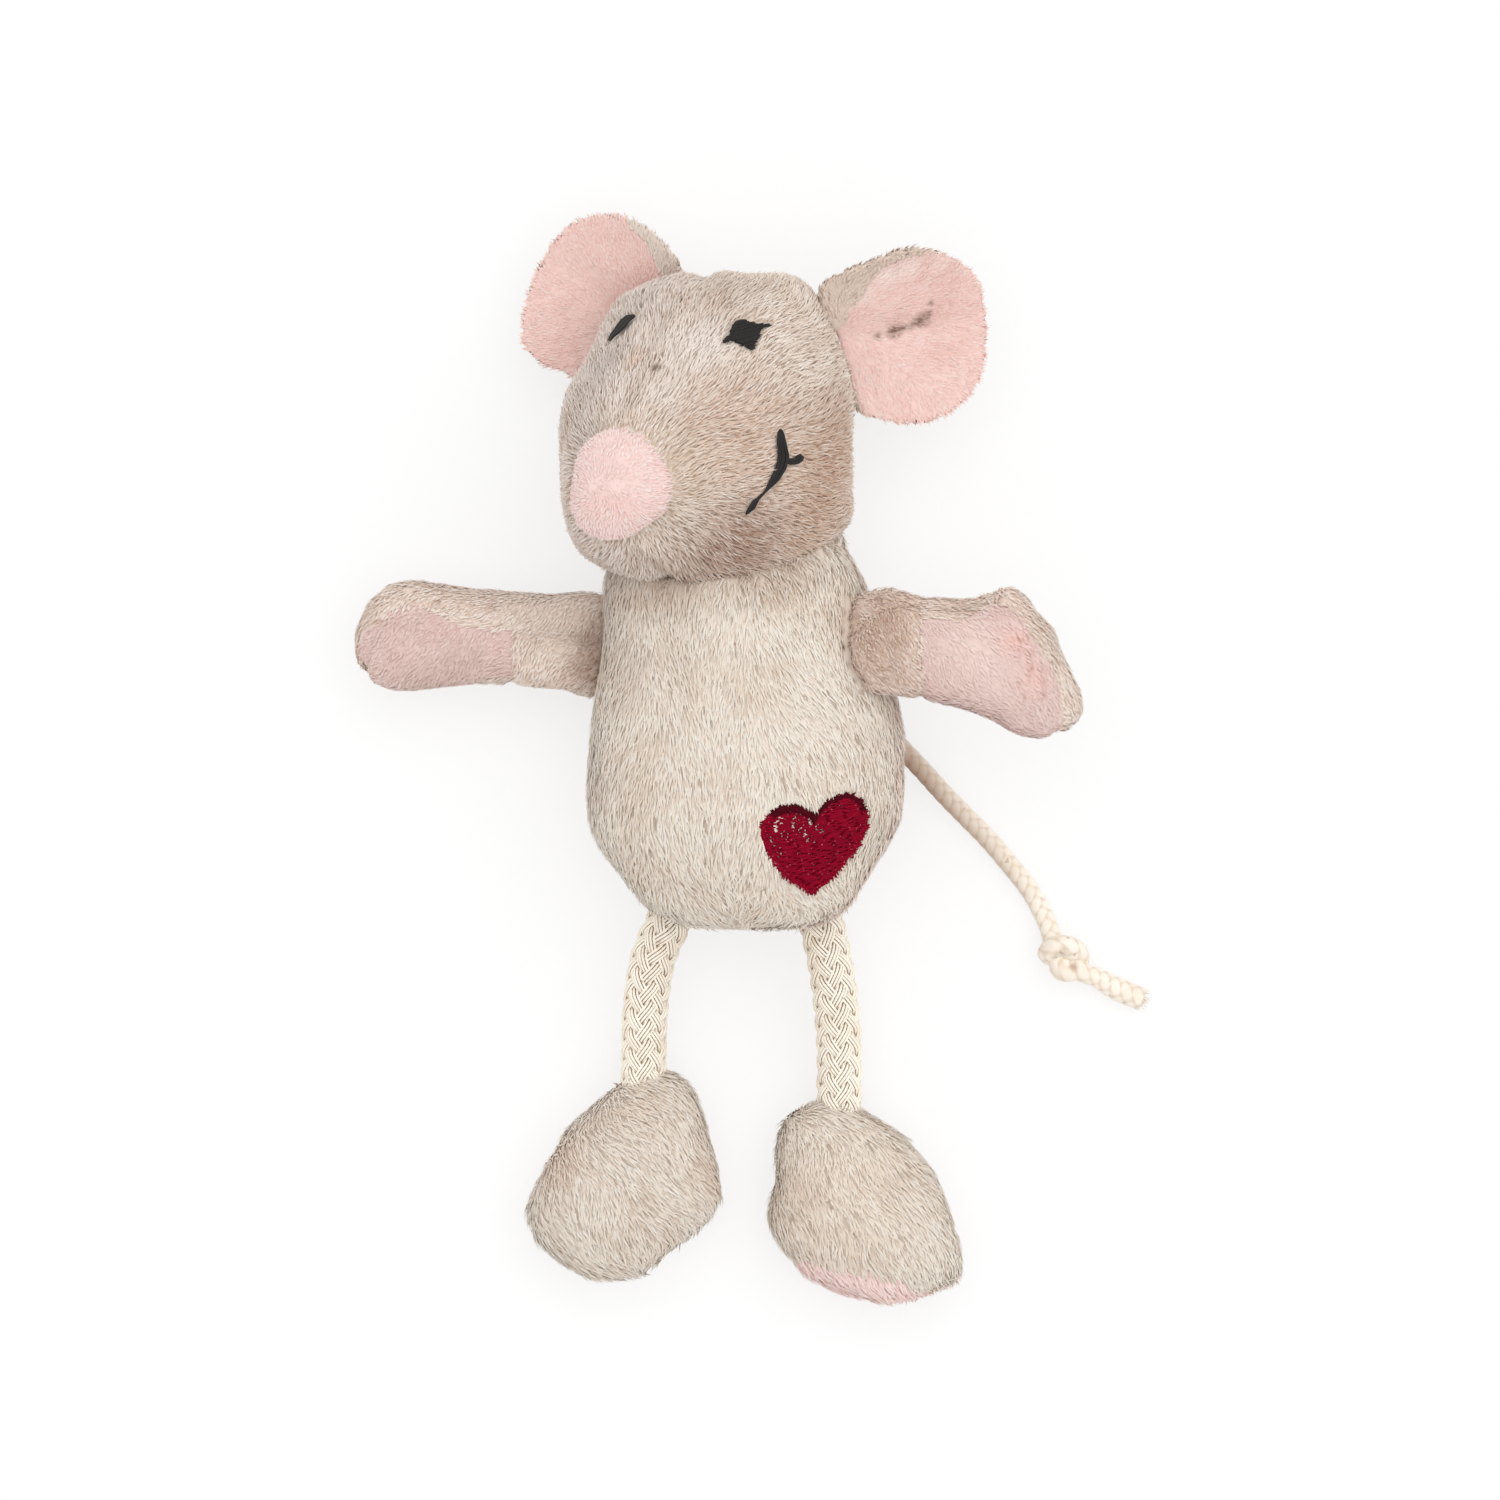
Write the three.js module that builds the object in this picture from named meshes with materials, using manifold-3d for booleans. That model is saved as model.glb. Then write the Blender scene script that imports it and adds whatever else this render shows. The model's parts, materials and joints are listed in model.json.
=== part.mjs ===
import * as THREE from "three";
import { mergeVertices } from "three/addons/utils/BufferGeometryUtils.js";
import Module from "manifold-3d";

// A plush mouse for a cat, lying on its back. +Z is up out of the belly, +Y points to the head,
// and left and right are as seen from above. All lengths are millimetres.

// Cloth, thread and clearances
const cloth = 1;
const seamGap = 0.3;
const threadRise = 0.5;
const backFlat = 0.5;
const overrun = 120;

// Head: a skull that tapers into a snout, turned to the left and nodding
const headX = -0.7;
const headY = 45.3;
const headZ = 19.1;
const headWidth = 40;
const headHeight = 42.8;
const skullBack = 19.5;
const snoutReach = 33.5;
const headFullnessShare = 2.7;
const noseFullnessShare = 2;
const headTurnDegrees = 27;
const headNodDegrees = 15;
const noseSeamReach = 28;

// Eyes, mouth and heart, placed as they are seen from above
const eyeX = 4.1;
const eyeY = 59.2;
const eyeSize = 6.2;
const mouthX = 10.2;
const mouthY = 40.1;
const mouthHeight = 11.7;
const mouthThread = 1.25;
const heartX = 13.2;
const heartY = -11.8;
const heartWidth = 14.6;
const heartHeight = 13.7;

// Ears: round double cloth, cupped, each sewn to the side of the head
const earLength = 23;
const earWidth = 24.2;
const earCloth = 0.75;
const earCup = 3;
const earCupBaseShare = 1.3;
const earCupRimShare = 0.7;
const earPleatDepth = 1.5;
const earPleatWidth = 2.25;
const earLeftSewnShare = 0.32;
const earRightSewnShare = 0.16;
const earBackDegrees = -20;
const earForwardDegrees = 30;
const earBaseLeft = { x: -7.4, y: 56.1, z: 9.2 };
const earBaseRight = { x: 14.9, y: 57.2, z: 21.6 };

// Torso: a pear with a round neck
const torsoX = 4;
const torsoBottomY = -23.4;
const torsoLength = 56.4;
const torsoWidth = 43.4;
const torsoDepth = 35.4;
const torsoZ = torsoDepth / 2 - backFlat;
const torsoFullnessShare = 2.1;
const torsoTurnDegrees = 14;

// Neck: a round cup that the skull sits in
const neckX = 1.3;
const neckY = 27;
const neckZ = 18;
const neckRadius = 17.5;
const neckCupRadius = 30;
const neckCupDepth = 2.2;
const shoulderDrop = 1.5;
const neckNodDegrees = 14;
const neckLeanDegrees = 5;

// Arms: flat where they are sewn in, full at the hand
const armLeftLength = 35.6;
const armRightLength = 31.6;
const armWidth = 14.6;
const armDepth = 12.4;
const armLeftOutShare = 0.415;
const armRightOutShare = 0.336;
const armLeftRoot = { x: torsoX - torsoWidth * armLeftOutShare, y: 15.7, z: 12.8 };
const armRightRoot = { x: torsoX + torsoWidth * armRightOutShare, y: 15.4, z: 24.8 };
const forearmLeft = 14.4;
const forearmRight = 9.2;
const armSeamLiftShare = 0.3;
const armRootFlat = 4.2;
const armFullnessShare = 2;
const armLeanShare = 0.33;
const armBackDegrees = -10;
const armForwardDegrees = 70;

// Legs: braided cord
const legCord = 6.4;

// Feet: stuffed slippers
const footLength = 28.6;
const footWidth = 26;
const footDepth = 15.4;
const footZ = footDepth / 2 - backFlat;
const footFullnessShare = 2.3;
const soleShare = 0.62;
const soleLeanLeftDegrees = 3;
const soleLeanRightDegrees = 17;
const footLeftHeel = { x: -12.4, y: -43.2 };
const footRightHeel = { x: 18.6, y: -47.6 };

// Tail: a thin cord with an overhand knot near its end
const tailCord = 2.8;
const knotX = 47.9;
const knotY = -27.2;
const knotZ = 3;
const knotTurnDegrees = -52;
const knotTightShare = 0.86;
const tailOutDegrees = -15;
const tailInDegrees = 40;

const wasm = await Module();
wasm.setup();

function solidOf(geometry) {
  const bare = geometry.clone();
  bare.deleteAttribute("normal");
  bare.deleteAttribute("uv");
  const merged = mergeVertices(bare, 1e-4);
  return new wasm.Manifold(
    new wasm.Mesh({
      numProp: 3,
      vertProperties: new Float32Array(merged.attributes.position.array),
      triVerts: new Uint32Array(merged.index.array),
    }),
  );
}

function geometryOf(solid) {
  const mesh = solid.getMesh();
  const geometry = new THREE.BufferGeometry();
  geometry.setAttribute("position", new THREE.BufferAttribute(mesh.vertProperties, 3));
  geometry.setIndex(new THREE.BufferAttribute(mesh.triVerts, 1));
  const faceted = geometry.toNonIndexed();
  faceted.computeVertexNormals();
  return faceted;
}

// A smooth run of rows through the chosen ones, each row a list of numbers
function smoothRows(rows, steps) {
  const size = rows[0].length;
  const places = rows.map((row, index) => index);
  const run = new THREE.CubicInterpolant(places, rows.flat(), size);
  const last = rows.length - 1;
  return Array.from({ length: steps + 1 }, (_, step) =>
    Array.from(run.evaluate((step / steps) * last)),
  );
}

// A closed soft form through rings, each with a middle, a half width and a half depth as vectors
function loft(rings, sides, fullness) {
  const points = [];
  const faces = [];
  for (const ring of rings) {
    const power = 2 / (ring.fullness ?? fullness);
    const swell = (value) => Math.sign(value) * Math.abs(value) ** power;
    for (let side = 0; side < sides; side += 1) {
      const angle = (side / sides) * 2 * Math.PI;
      const point = ring.middle.clone();
      point.addScaledVector(ring.across, swell(Math.cos(angle)));
      point.addScaledVector(ring.through, swell(Math.sin(angle)));
      points.push(...point);
    }
  }
  const last = rings.length - 1;
  const tip = points.length / 3;
  points.push(...rings[0].middle, ...rings[last].middle);
  for (let side = 0; side < sides; side += 1) {
    const next = (side + 1) % sides;
    for (let ring = 0; ring < last; ring += 1) {
      const here = ring * sides;
      const there = here + sides;
      faces.push(here + side, here + next, there + side);
      faces.push(here + next, there + next, there + side);
    }
    faces.push(tip, next, side);
    faces.push(tip + 1, last * sides + side, last * sides + next);
  }
  const geometry = new THREE.BufferGeometry();
  geometry.setAttribute("position", new THREE.Float32BufferAttribute(points, 3));
  geometry.setIndex(faces);
  return solidOf(geometry);
}

// Everything on the far side of a plane, as a large block
function beyond(point, direction) {
  const block = new THREE.BoxGeometry(2 * overrun, 2 * overrun, overrun);
  block.translate(0, 0, overrun / 2);
  const turn = new THREE.Quaternion().setFromUnitVectors(
    new THREE.Vector3(0, 0, 1),
    direction.clone().normalize(),
  );
  block.applyQuaternion(turn);
  block.translate(point.x, point.y, point.z);
  return solidOf(block);
}

// An outline seen from above, run through the whole height
function prism(shape, steps = 8) {
  const geometry = new THREE.ExtrudeGeometry(shape, {
    depth: overrun,
    bevelEnabled: false,
    curveSegments: steps,
  });
  geometry.translate(0, 0, -overrun / 2);
  return geometry;
}

const along = (point, direction, distance) => point.clone().addScaledVector(direction, distance);
const ground = beyond(new THREE.Vector3(0, 0, 0), new THREE.Vector3(0, 0, -1));
const offGround = (solid) => solid.subtract(ground);

// The neck, as everything that belongs to the torso: under the shoulders, and inside the cup
function neckZone(clearance, steps = 5) {
  const radius = neckRadius + clearance;
  const cup = neckCupRadius - clearance;
  const rimAngle = Math.asin(radius / cup);
  const profile = [
    new THREE.Vector2(0, -overrun),
    new THREE.Vector2(overrun, -overrun),
    new THREE.Vector2(overrun, clearance - shoulderDrop),
    new THREE.Vector2(radius, clearance - shoulderDrop),
  ];
  for (let step = 0; step <= steps; step += 1) {
    const angle = rimAngle * (1 - step / steps);
    const height = neckCupRadius - neckCupDepth - cup * Math.cos(angle);
    profile.push(new THREE.Vector2(cup * Math.sin(angle), height));
  }
  const zone = new THREE.LatheGeometry(profile, 28);
  zone.rotateX(THREE.MathUtils.degToRad(neckNodDegrees));
  zone.rotateZ(THREE.MathUtils.degToRad(neckLeanDegrees));
  zone.translate(neckX, neckY, neckZ);
  return solidOf(zone);
}

// What a form sweeps through, seen from a piece that swings on the given hinge beside it
function sweptPast(form, { at, axis, low, high }) {
  const passes = [low, low / 2, 0, high / 3, (2 * high) / 3, high].map((degrees) => {
    const swing = new THREE.Matrix4().makeTranslation(at);
    swing.multiply(new THREE.Matrix4().makeRotationAxis(axis, -THREE.MathUtils.degToRad(degrees)));
    swing.multiply(new THREE.Matrix4().makeTranslation(at.clone().negate()));
    return form.transform(swing.elements);
  });
  return passes.reduce((joined, next) => joined.add(next));
}

// Head
const turn = THREE.MathUtils.degToRad(headTurnDegrees);
const nod = THREE.MathUtils.degToRad(headNodDegrees);
const headMiddle = new THREE.Vector3(headX, headY, headZ);
const snoutWay = new THREE.Vector3(
  -Math.sin(turn) * Math.cos(nod),
  -Math.sin(nod),
  Math.cos(turn) * Math.cos(nod),
);
const headSide = new THREE.Vector3(Math.cos(turn), 0, Math.sin(turn));
const headUp = new THREE.Vector3().crossVectors(snoutWay, headSide);

const headShares = [
  [0, 0.14],
  [0.05, 0.5],
  [0.19, 0.88],
  [0.37, 1],
  [0.57, 0.89],
  [0.74, 0.67],
  [0.88, 0.42],
  [0.96, 0.3],
  [1, 0.1],
];

const snoutRoundingShares = [0.4, 0.85];

function headForm(grow) {
  const rings = smoothRows(headShares, 12).map(([place, size]) => ({
    middle: along(
      headMiddle,
      snoutWay,
      (skullBack + snoutReach + 2 * grow) * place - skullBack - grow,
    ),
    across: headSide.clone().multiplyScalar((headWidth / 2) * size + grow),
    through: headUp.clone().multiplyScalar((headHeight / 2) * size + grow),
    fullness: THREE.MathUtils.lerp(
      headFullnessShare,
      noseFullnessShare,
      THREE.MathUtils.smoothstep(place, ...snoutRoundingShares),
    ),
  }));
  return loft(rings, 24);
}

const headOuter = headForm(0);
const headCloth = offGround(headOuter.subtract(headForm(-cloth)).subtract(neckZone(seamGap)));
const noseSeam = along(headMiddle, snoutWay, noseSeamReach);
const noseBack = along(noseSeam, snoutWay, -seamGap);
const headBehindNose = headCloth.subtract(beyond(noseBack, snoutWay));
const halfGap = seamGap / 2;
const leftward = headSide.clone().negate();
const headLeft = headBehindNose.intersect(beyond(along(headMiddle, leftward, halfGap), leftward));
const headRight = headBehindNose.intersect(beyond(along(headMiddle, headSide, halfGap), headSide));
const noseCap = headCloth.intersect(beyond(noseSeam, snoutWay));
const headStuffing = offGround(headForm(-cloth - seamGap).subtract(neckZone(seamGap))).subtract(
  beyond(new THREE.Vector3(0, 0, backFlat), new THREE.Vector3(0, 0, -1)),
);

// Thread and patches lie on the cloth as a thin layer, cut to an outline seen from above
const headLayer = headForm(seamGap + threadRise).subtract(headForm(seamGap));

const eyeShares = [
  [-0.1, 0.36],
  [0.32, 0.26],
  [0.52, 0.19],
  [0.37, 0.1],
  [0.35, -0.16],
  [0.19, -0.3],
  [0.11, -0.41],
  [0, -0.26],
  [-0.27, -0.1],
  [-0.48, -0.2],
  [-0.33, 0.13],
  [-0.22, 0.32],
];
const eyeOutline = new THREE.Shape(
  eyeShares.map(([x, y]) => new THREE.Vector2(eyeX + eyeSize * x, eyeY + eyeSize * y)),
);
const upperSide = beyond(headMiddle, new THREE.Vector3(0, 0, 1));
const frontLayer = headLayer.intersect(upperSide);
const eye = frontLayer.intersect(solidOf(prism(eyeOutline)));

// Each stroke of the mouth: where it starts and ends, and its width, in shares
const mouthShares = [
  [[-0.13, 0.5], [-0.08, 0.14], 1],
  [[-0.08, 0.14], [0.16, 0.17], 0.75],
  [[-0.08, 0.14], [-0.25, -0.15], 0.8],
  [[-0.25, -0.15], [-0.39, -0.34], 0.4],
  [[-0.39, -0.34], [-0.53, -0.5], 0.65],
];

function stroke([from, to, width]) {
  const start = new THREE.Vector2(...from).multiplyScalar(mouthHeight);
  const run = new THREE.Vector2(...to).multiplyScalar(mouthHeight).sub(start);
  const half = (mouthThread * width) / 2;
  const bar = new THREE.Shape();
  bar.absarc(0, 0, half, Math.PI / 2, -Math.PI / 2, false);
  bar.absarc(run.length(), 0, half, -Math.PI / 2, Math.PI / 2, false);
  const solid = prism(bar, 4);
  solid.rotateZ(run.angle());
  solid.translate(mouthX + start.x, mouthY + start.y, 0);
  return solidOf(solid);
}

const mouth = frontLayer.intersect(
  mouthShares.map(stroke).reduce((joined, next) => joined.add(next)),
);

// The left eye and mouth are those on the right, mirrored in the seam down the face
const mirror = new THREE.Matrix4();
{
  const { x, y, z } = headSide;
  const depth = 2 * headSide.dot(headMiddle);
  mirror.set(
    1 - 2 * x * x, -2 * x * y, -2 * x * z, depth * x,
    -2 * x * y, 1 - 2 * y * y, -2 * y * z, depth * y,
    -2 * x * z, -2 * y * z, 1 - 2 * z * z, depth * z,
    0, 0, 0, 1,
  );
}

// Torso
const torsoShares = [
  [0, 0.26, 0.26, 0.012, 0],
  [0.04, 0.58, 0.58, 0.006, 0],
  [0.145, 0.85, 0.85, 0.004, 0],
  [0.26, 0.98, 0.96, 0, 0],
  [0.4, 1, 1, 0, 0],
  [0.56, 0.95, 0.99, 0, 0],
  [0.68, 0.86, 0.975, -0.016, 0],
  [0.82, 0.79, 0.955, -0.048, 0.01],
  [0.9, 0.76, 0.95, -0.062, 0.022],
  [1, 0.76, 0.95, -0.062, 0.022],
];

function torsoForm(grow) {
  const rings = smoothRows(torsoShares, 14).map(([place, width, depth, side, lift]) => ({
    middle: new THREE.Vector3(
      torsoX + torsoWidth * side,
      torsoBottomY - grow + (torsoLength + 2 * grow) * place,
      torsoZ + torsoDepth * lift,
    ),
    across: new THREE.Vector3(0, 0, (torsoDepth / 2) * depth + grow),
    through: new THREE.Vector3((torsoWidth / 2) * width + grow, 0, 0),
  }));
  return loft(rings, 24, torsoFullnessShare);
}

const torsoOuter = torsoForm(0);
const neck = neckZone(0);
const torsoCloth = offGround(torsoOuter.subtract(torsoForm(-cloth)).intersect(neck));
const torsoTurn = THREE.MathUtils.degToRad(torsoTurnDegrees);
const torsoFront = new THREE.Vector3(-Math.sin(torsoTurn), 0, Math.cos(torsoTurn));
const torsoBack = torsoFront.clone().negate();
const torsoMiddle = new THREE.Vector3(torsoX, 0, torsoZ);
const torsoFrontPanel = torsoCloth.intersect(
  beyond(along(torsoMiddle, torsoFront, halfGap), torsoFront),
);
const torsoBackPanel = torsoCloth.intersect(
  beyond(along(torsoMiddle, torsoBack, halfGap), torsoBack),
);
const torsoStuffing = torsoForm(-cloth - seamGap)
  .intersect(neck)
  .subtract(beyond(new THREE.Vector3(0, 0, backFlat), new THREE.Vector3(0, 0, -1)));

const heartLeftShares = [
  [0.01, 0.3],
  [-0.17, 0.39],
  [-0.36, 0.35],
  [-0.5, 0.13],
  [-0.32, -0.26],
  [-0.01, -0.5],
];
const heartRightShares = [
  [-0.01, -0.5],
  [0.24, -0.26],
  [0.47, 0.09],
  [0.5, 0.33],
  [0.37, 0.5],
  [0.15, 0.45],
  [0.01, 0.3],
];
const heartPoint = ([x, y]) =>
  new THREE.Vector2(heartX + heartWidth * x, heartY + heartHeight * y);
const heartOutline = new THREE.Shape();
heartOutline.moveTo(...heartPoint(heartLeftShares[0]));
heartOutline.splineThru(heartLeftShares.slice(1).map(heartPoint));
heartOutline.splineThru(heartRightShares.slice(1).map(heartPoint));
const heart = torsoForm(seamGap + threadRise)
  .subtract(torsoForm(seamGap))
  .intersect(beyond(torsoMiddle, new THREE.Vector3(0, 0, 1)))
  .intersect(solidOf(prism(heartOutline, 3)));

// Ears. Each is two round cloths over one cupped sheet: across it is drawn up at both edges,
// and the pleat at its base runs out toward the rim.
function earSheet(base, lengthways, frontways, low, high, rings = 4, sectors = 20) {
  const start = new THREE.Vector3(base.x, base.y, base.z);
  const sideways = new THREE.Vector3().crossVectors(frontways, lengthways).normalize();
  const face = new THREE.Vector3().crossVectors(lengthways, sideways).normalize();
  const middle = along(start, lengthways, earLength / 2);
  const place = (ring, sector, height) => {
    const angle = (sector / sectors) * 2 * Math.PI;
    const out = (earLength / 2) * Math.cos(angle) * (ring / rings);
    const wide = (earWidth / 2) * Math.sin(angle) * (ring / rings);
    const fromBase = (out + earLength / 2) / earLength;
    const drawn = THREE.MathUtils.lerp(earCupBaseShare, earCupRimShare, fromBase);
    const cup = earCup * drawn * ((2 * wide) / earWidth) ** 2;
    const pleat = earPleatDepth * Math.exp(-((wide / earPleatWidth) ** 2)) * (1 - fromBase);
    const point = along(middle, lengthways, out);
    point.addScaledVector(sideways, wide);
    return point.addScaledVector(face, cup - pleat + height);
  };
  const points = [];
  const faces = [];
  for (const height of [low, high]) {
    points.push(...place(0, 0, height));
    for (let ring = 1; ring <= rings; ring += 1) {
      for (let sector = 0; sector < sectors; sector += 1) {
        points.push(...place(ring, sector, height));
      }
    }
  }
  const sheet = 1 + rings * sectors;
  const number = (ring, sector) => (ring ? 1 + (ring - 1) * sectors + (sector % sectors) : 0);
  for (let sector = 0; sector < sectors; sector += 1) {
    for (let ring = 0; ring < rings; ring += 1) {
      const corners = [
        number(ring, sector),
        number(ring + 1, sector),
        number(ring + 1, sector + 1),
        number(ring, sector + 1),
      ];
      const triangles = ring
        ? [corners.slice(0, 3), [corners[0], corners[2], corners[3]]]
        : [corners.slice(0, 3)];
      for (const [a, b, c] of triangles) {
        faces.push(a, c, b, sheet + a, sheet + b, sheet + c);
      }
    }
    const rim = number(rings, sector);
    const next = number(rings, sector + 1);
    faces.push(rim, next, sheet + next, rim, sheet + next, sheet + rim);
  }
  const geometry = new THREE.BufferGeometry();
  geometry.setAttribute("position", new THREE.Float32BufferAttribute(points, 3));
  geometry.setIndex(faces);
  return solidOf(geometry);
}

// An ear folds about the line where it is sewn on
function ear({ base, sewnShare, lengthways, frontways }) {
  const swept = sweptPast(headForm(seamGap), {
    at: along(new THREE.Vector3(base.x, base.y, base.z), lengthways, earLength * sewnShare),
    axis: new THREE.Vector3().crossVectors(lengthways, frontways).normalize(),
    low: earBackDegrees,
    high: earForwardDegrees,
  });
  const front = earSheet(base, lengthways, frontways, seamGap / 2, seamGap / 2 + earCloth);
  const back = earSheet(base, lengthways, frontways, -seamGap / 2 - earCloth, -seamGap / 2);
  return { front: front.subtract(swept), back: back.subtract(swept) };
}

const earLeft = ear({
  base: earBaseLeft,
  sewnShare: earLeftSewnShare,
  lengthways: new THREE.Vector3(-0.72, 0.68, 0).normalize(),
  frontways: new THREE.Vector3(-0.28, -0.12, 0.95).normalize(),
});
const earRight = ear({
  base: earBaseRight,
  sewnShare: earRightSewnShare,
  lengthways: new THREE.Vector3(0.93, 0.2, -0.3).normalize(),
  frontways: new THREE.Vector3(0.2, -0.4, 0.9).normalize(),
});

// Arms. Each swells from the flat end in the side seam to a full hand. In the shares, the first is
// of the arm's length, the next two of its width (rise and half width), the last of its depth.
const armLeftShares = [
  [0, 0, 0.45, 0, 0.12],
  [0.09, 0.01, 0.45, -0.01, 0.13],
  [0.17, 0.02, 0.43, -0.03, 0.27],
  [0.29, 0.04, 0.41, -0.07, 0.4],
  [0.46, 0.06, 0.4, -0.15, 0.45],
  [0.62, 0.08, 0.43, -0.21, 0.48],
  [0.75, 0.1, 0.48, -0.25, 0.5],
  [0.85, 0.09, 0.48, -0.28, 0.47],
  [0.94, 0.04, 0.36, -0.31, 0.36],
  [1, 0.01, 0.12, -0.32, 0.13],
];
const armRightShares = [
  [0, 0, 0.46, 0, 0.12],
  [0.07, 0, 0.46, 0.17, 0.13],
  [0.16, 0, 0.44, 0.27, 0.27],
  [0.28, -0.03, 0.43, 0.3, 0.4],
  [0.43, -0.07, 0.47, 0.24, 0.46],
  [0.55, -0.11, 0.52, 0.17, 0.5],
  [0.69, -0.14, 0.63, 0.1, 0.51],
  [0.78, -0.18, 0.62, 0.06, 0.49],
  [0.88, -0.3, 0.5, 0, 0.43],
  [0.95, -0.41, 0.3, -0.04, 0.29],
  [1, -0.51, 0.1, -0.07, 0.12],
];
const shoulderLean = new THREE.Vector3(-0.135, 0.946, -0.297);

function armMiddle({ root, length, side }, [reach, rise, , lift], grow) {
  return new THREE.Vector3(
    root.x + side * (length * reach + grow * (2 * reach - 1)),
    root.y + armWidth * rise,
    root.z + armDepth * lift,
  );
}

function armForm(shape, grow) {
  const { shares, side, lean } = shape;
  const rings = smoothRows(shares, 10).map((row) => {
    const [reach, , width, , depth] = row;
    const across = new THREE.Vector3(0, 1, 0);
    across.lerp(lean, Math.max(0, 1 - reach / armLeanShare)).normalize();
    const through = new THREE.Vector3(side, 0, 0).cross(across).normalize();
    return {
      middle: armMiddle(shape, row, grow),
      across: across.multiplyScalar(armWidth * width + grow),
      through: through.multiplyScalar(Math.max(armDepth * depth + grow, seamGap)),
    };
  });
  return loft(rings, 14, armFullnessShare);
}

// Seen from above, the seam between the front and back cloth of an arm. The front lies below it,
// and the cut leans so that the same seam comes out behind.
const seamLeftShares = [
  [-0.1, 0.13],
  [0.4, 0.16],
  [0.58, 0.26],
  [0.69, 0.42],
  [0.86, 0.38],
  [0.94, 0.18],
  [0.975, 0],
  [1.02, -0.2],
  [1.1, -0.8],
];
const seamRightShares = [
  [-0.1, 0.24],
  [0.4, 0.25],
  [0.52, 0.33],
  [0.6, 0.38],
  [0.67, 0.3],
  [0.75, 0.06],
  [0.83, -0.2],
  [0.88, -0.45],
  [0.87, -0.7],
  [0.84, -1.2],
];
const seamLeanShare = 0.66;

function armFront({ root, length, seamShares, side }, grow) {
  const outline = new THREE.Shape();
  outline.moveTo(root.x - side * overrun, root.y - overrun);
  outline.lineTo(root.x - side * overrun, root.y + armWidth * seamShares[0][1] + grow);
  for (const [reach, rise] of seamShares) {
    outline.lineTo(root.x + side * (length * reach + grow), root.y + armWidth * rise + grow);
  }
  outline.lineTo(root.x + side * (length * seamShares.at(-1)[0] + grow), root.y - overrun);
  const block = prism(outline);
  block.translate(0, 0, -root.z - armDepth * armSeamLiftShare);
  block.applyMatrix4(new THREE.Matrix4().makeShear(0, 0, 0, 0, 0, seamLeanShare));
  block.translate(0, 0, root.z + armDepth * armSeamLiftShare);
  return solidOf(block);
}

// An arm swings where it leaves the seam, at the second row of its shares
function arm(shape, forearm) {
  const swept = sweptPast(torsoForm(seamGap), {
    at: armMiddle(shape, shape.shares[1], 0),
    axis: shape.lean.clone().multiplyScalar(-shape.side).normalize(),
    low: armBackDegrees,
    high: armForwardDegrees,
  });
  const outer = armForm(shape, 0);
  const wall = outer.subtract(armForm(shape, -cloth)).subtract(swept);
  const front = wall.intersect(armFront(shape, 0));
  const outward = new THREE.Vector3(shape.side, 0, 0);
  const wristMiddle = new THREE.Vector3(shape.root.x + shape.side * forearm, 0, 0);
  const wrist = beyond(wristMiddle, outward);
  const innerWrist = beyond(along(wristMiddle, outward, -seamGap), outward);
  return {
    front: front.subtract(innerWrist),
    palm: front.intersect(wrist),
    back: wall.subtract(armFront(shape, seamGap)),
    stuffing: armForm(shape, -cloth - seamGap).subtract(torsoForm(armRootFlat)).subtract(swept),
  };
}

const armLeft = arm(
  {
    root: armLeftRoot,
    length: armLeftLength,
    shares: armLeftShares,
    seamShares: seamLeftShares,
    side: -1,
    lean: new THREE.Vector3(0, 1, 0),
  },
  forearmLeft,
);
const armRight = arm(
  {
    root: armRightRoot,
    length: armRightLength,
    shares: armRightShares,
    seamShares: seamRightShares,
    side: 1,
    lean: shoulderLean,
  },
  forearmRight,
);

// Feet: slippers with a flat sole, the heel up at the cord
const footLeftShares = [
  [0.01, 0.17, 0.08, 0.14],
  [0.08, 0.15, 0.19, 0.26],
  [0.2, 0.1, 0.3, 0.36],
  [0.35, 0.04, 0.41, 0.45],
  [0.53, 0, 0.49, 0.5],
  [0.66, -0.02, 0.5, 0.49],
  [0.77, -0.04, 0.46, 0.46],
  [0.89, -0.08, 0.3, 0.38],
  [1, -0.1, 0.12, 0.2],
];
const footRightShares = [
  [0.02, -0.17, 0.12, 0.2],
  [0.1, -0.14, 0.24, 0.32],
  [0.22, -0.05, 0.35, 0.42],
  [0.39, 0, 0.42, 0.48],
  [0.52, 0.01, 0.46, 0.5],
  [0.65, 0.08, 0.45, 0.5],
  [0.78, 0.14, 0.44, 0.46],
  [0.9, 0.22, 0.33, 0.36],
  [0.98, 0.24, 0.13, 0.18],
];

function footForm(heel, shares, grow) {
  const rings = smoothRows(shares, 9).map(([place, shift, width, depth]) => ({
    middle: new THREE.Vector3(
      heel.x + footWidth * shift,
      heel.y + grow - (footLength + 2 * grow) * place,
      footZ,
    ),
    across: new THREE.Vector3(footWidth * width + grow, 0, 0),
    through: new THREE.Vector3(0, 0, footDepth * depth + grow),
  }));
  return loft(rings, 16, footFullnessShare);
}

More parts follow.
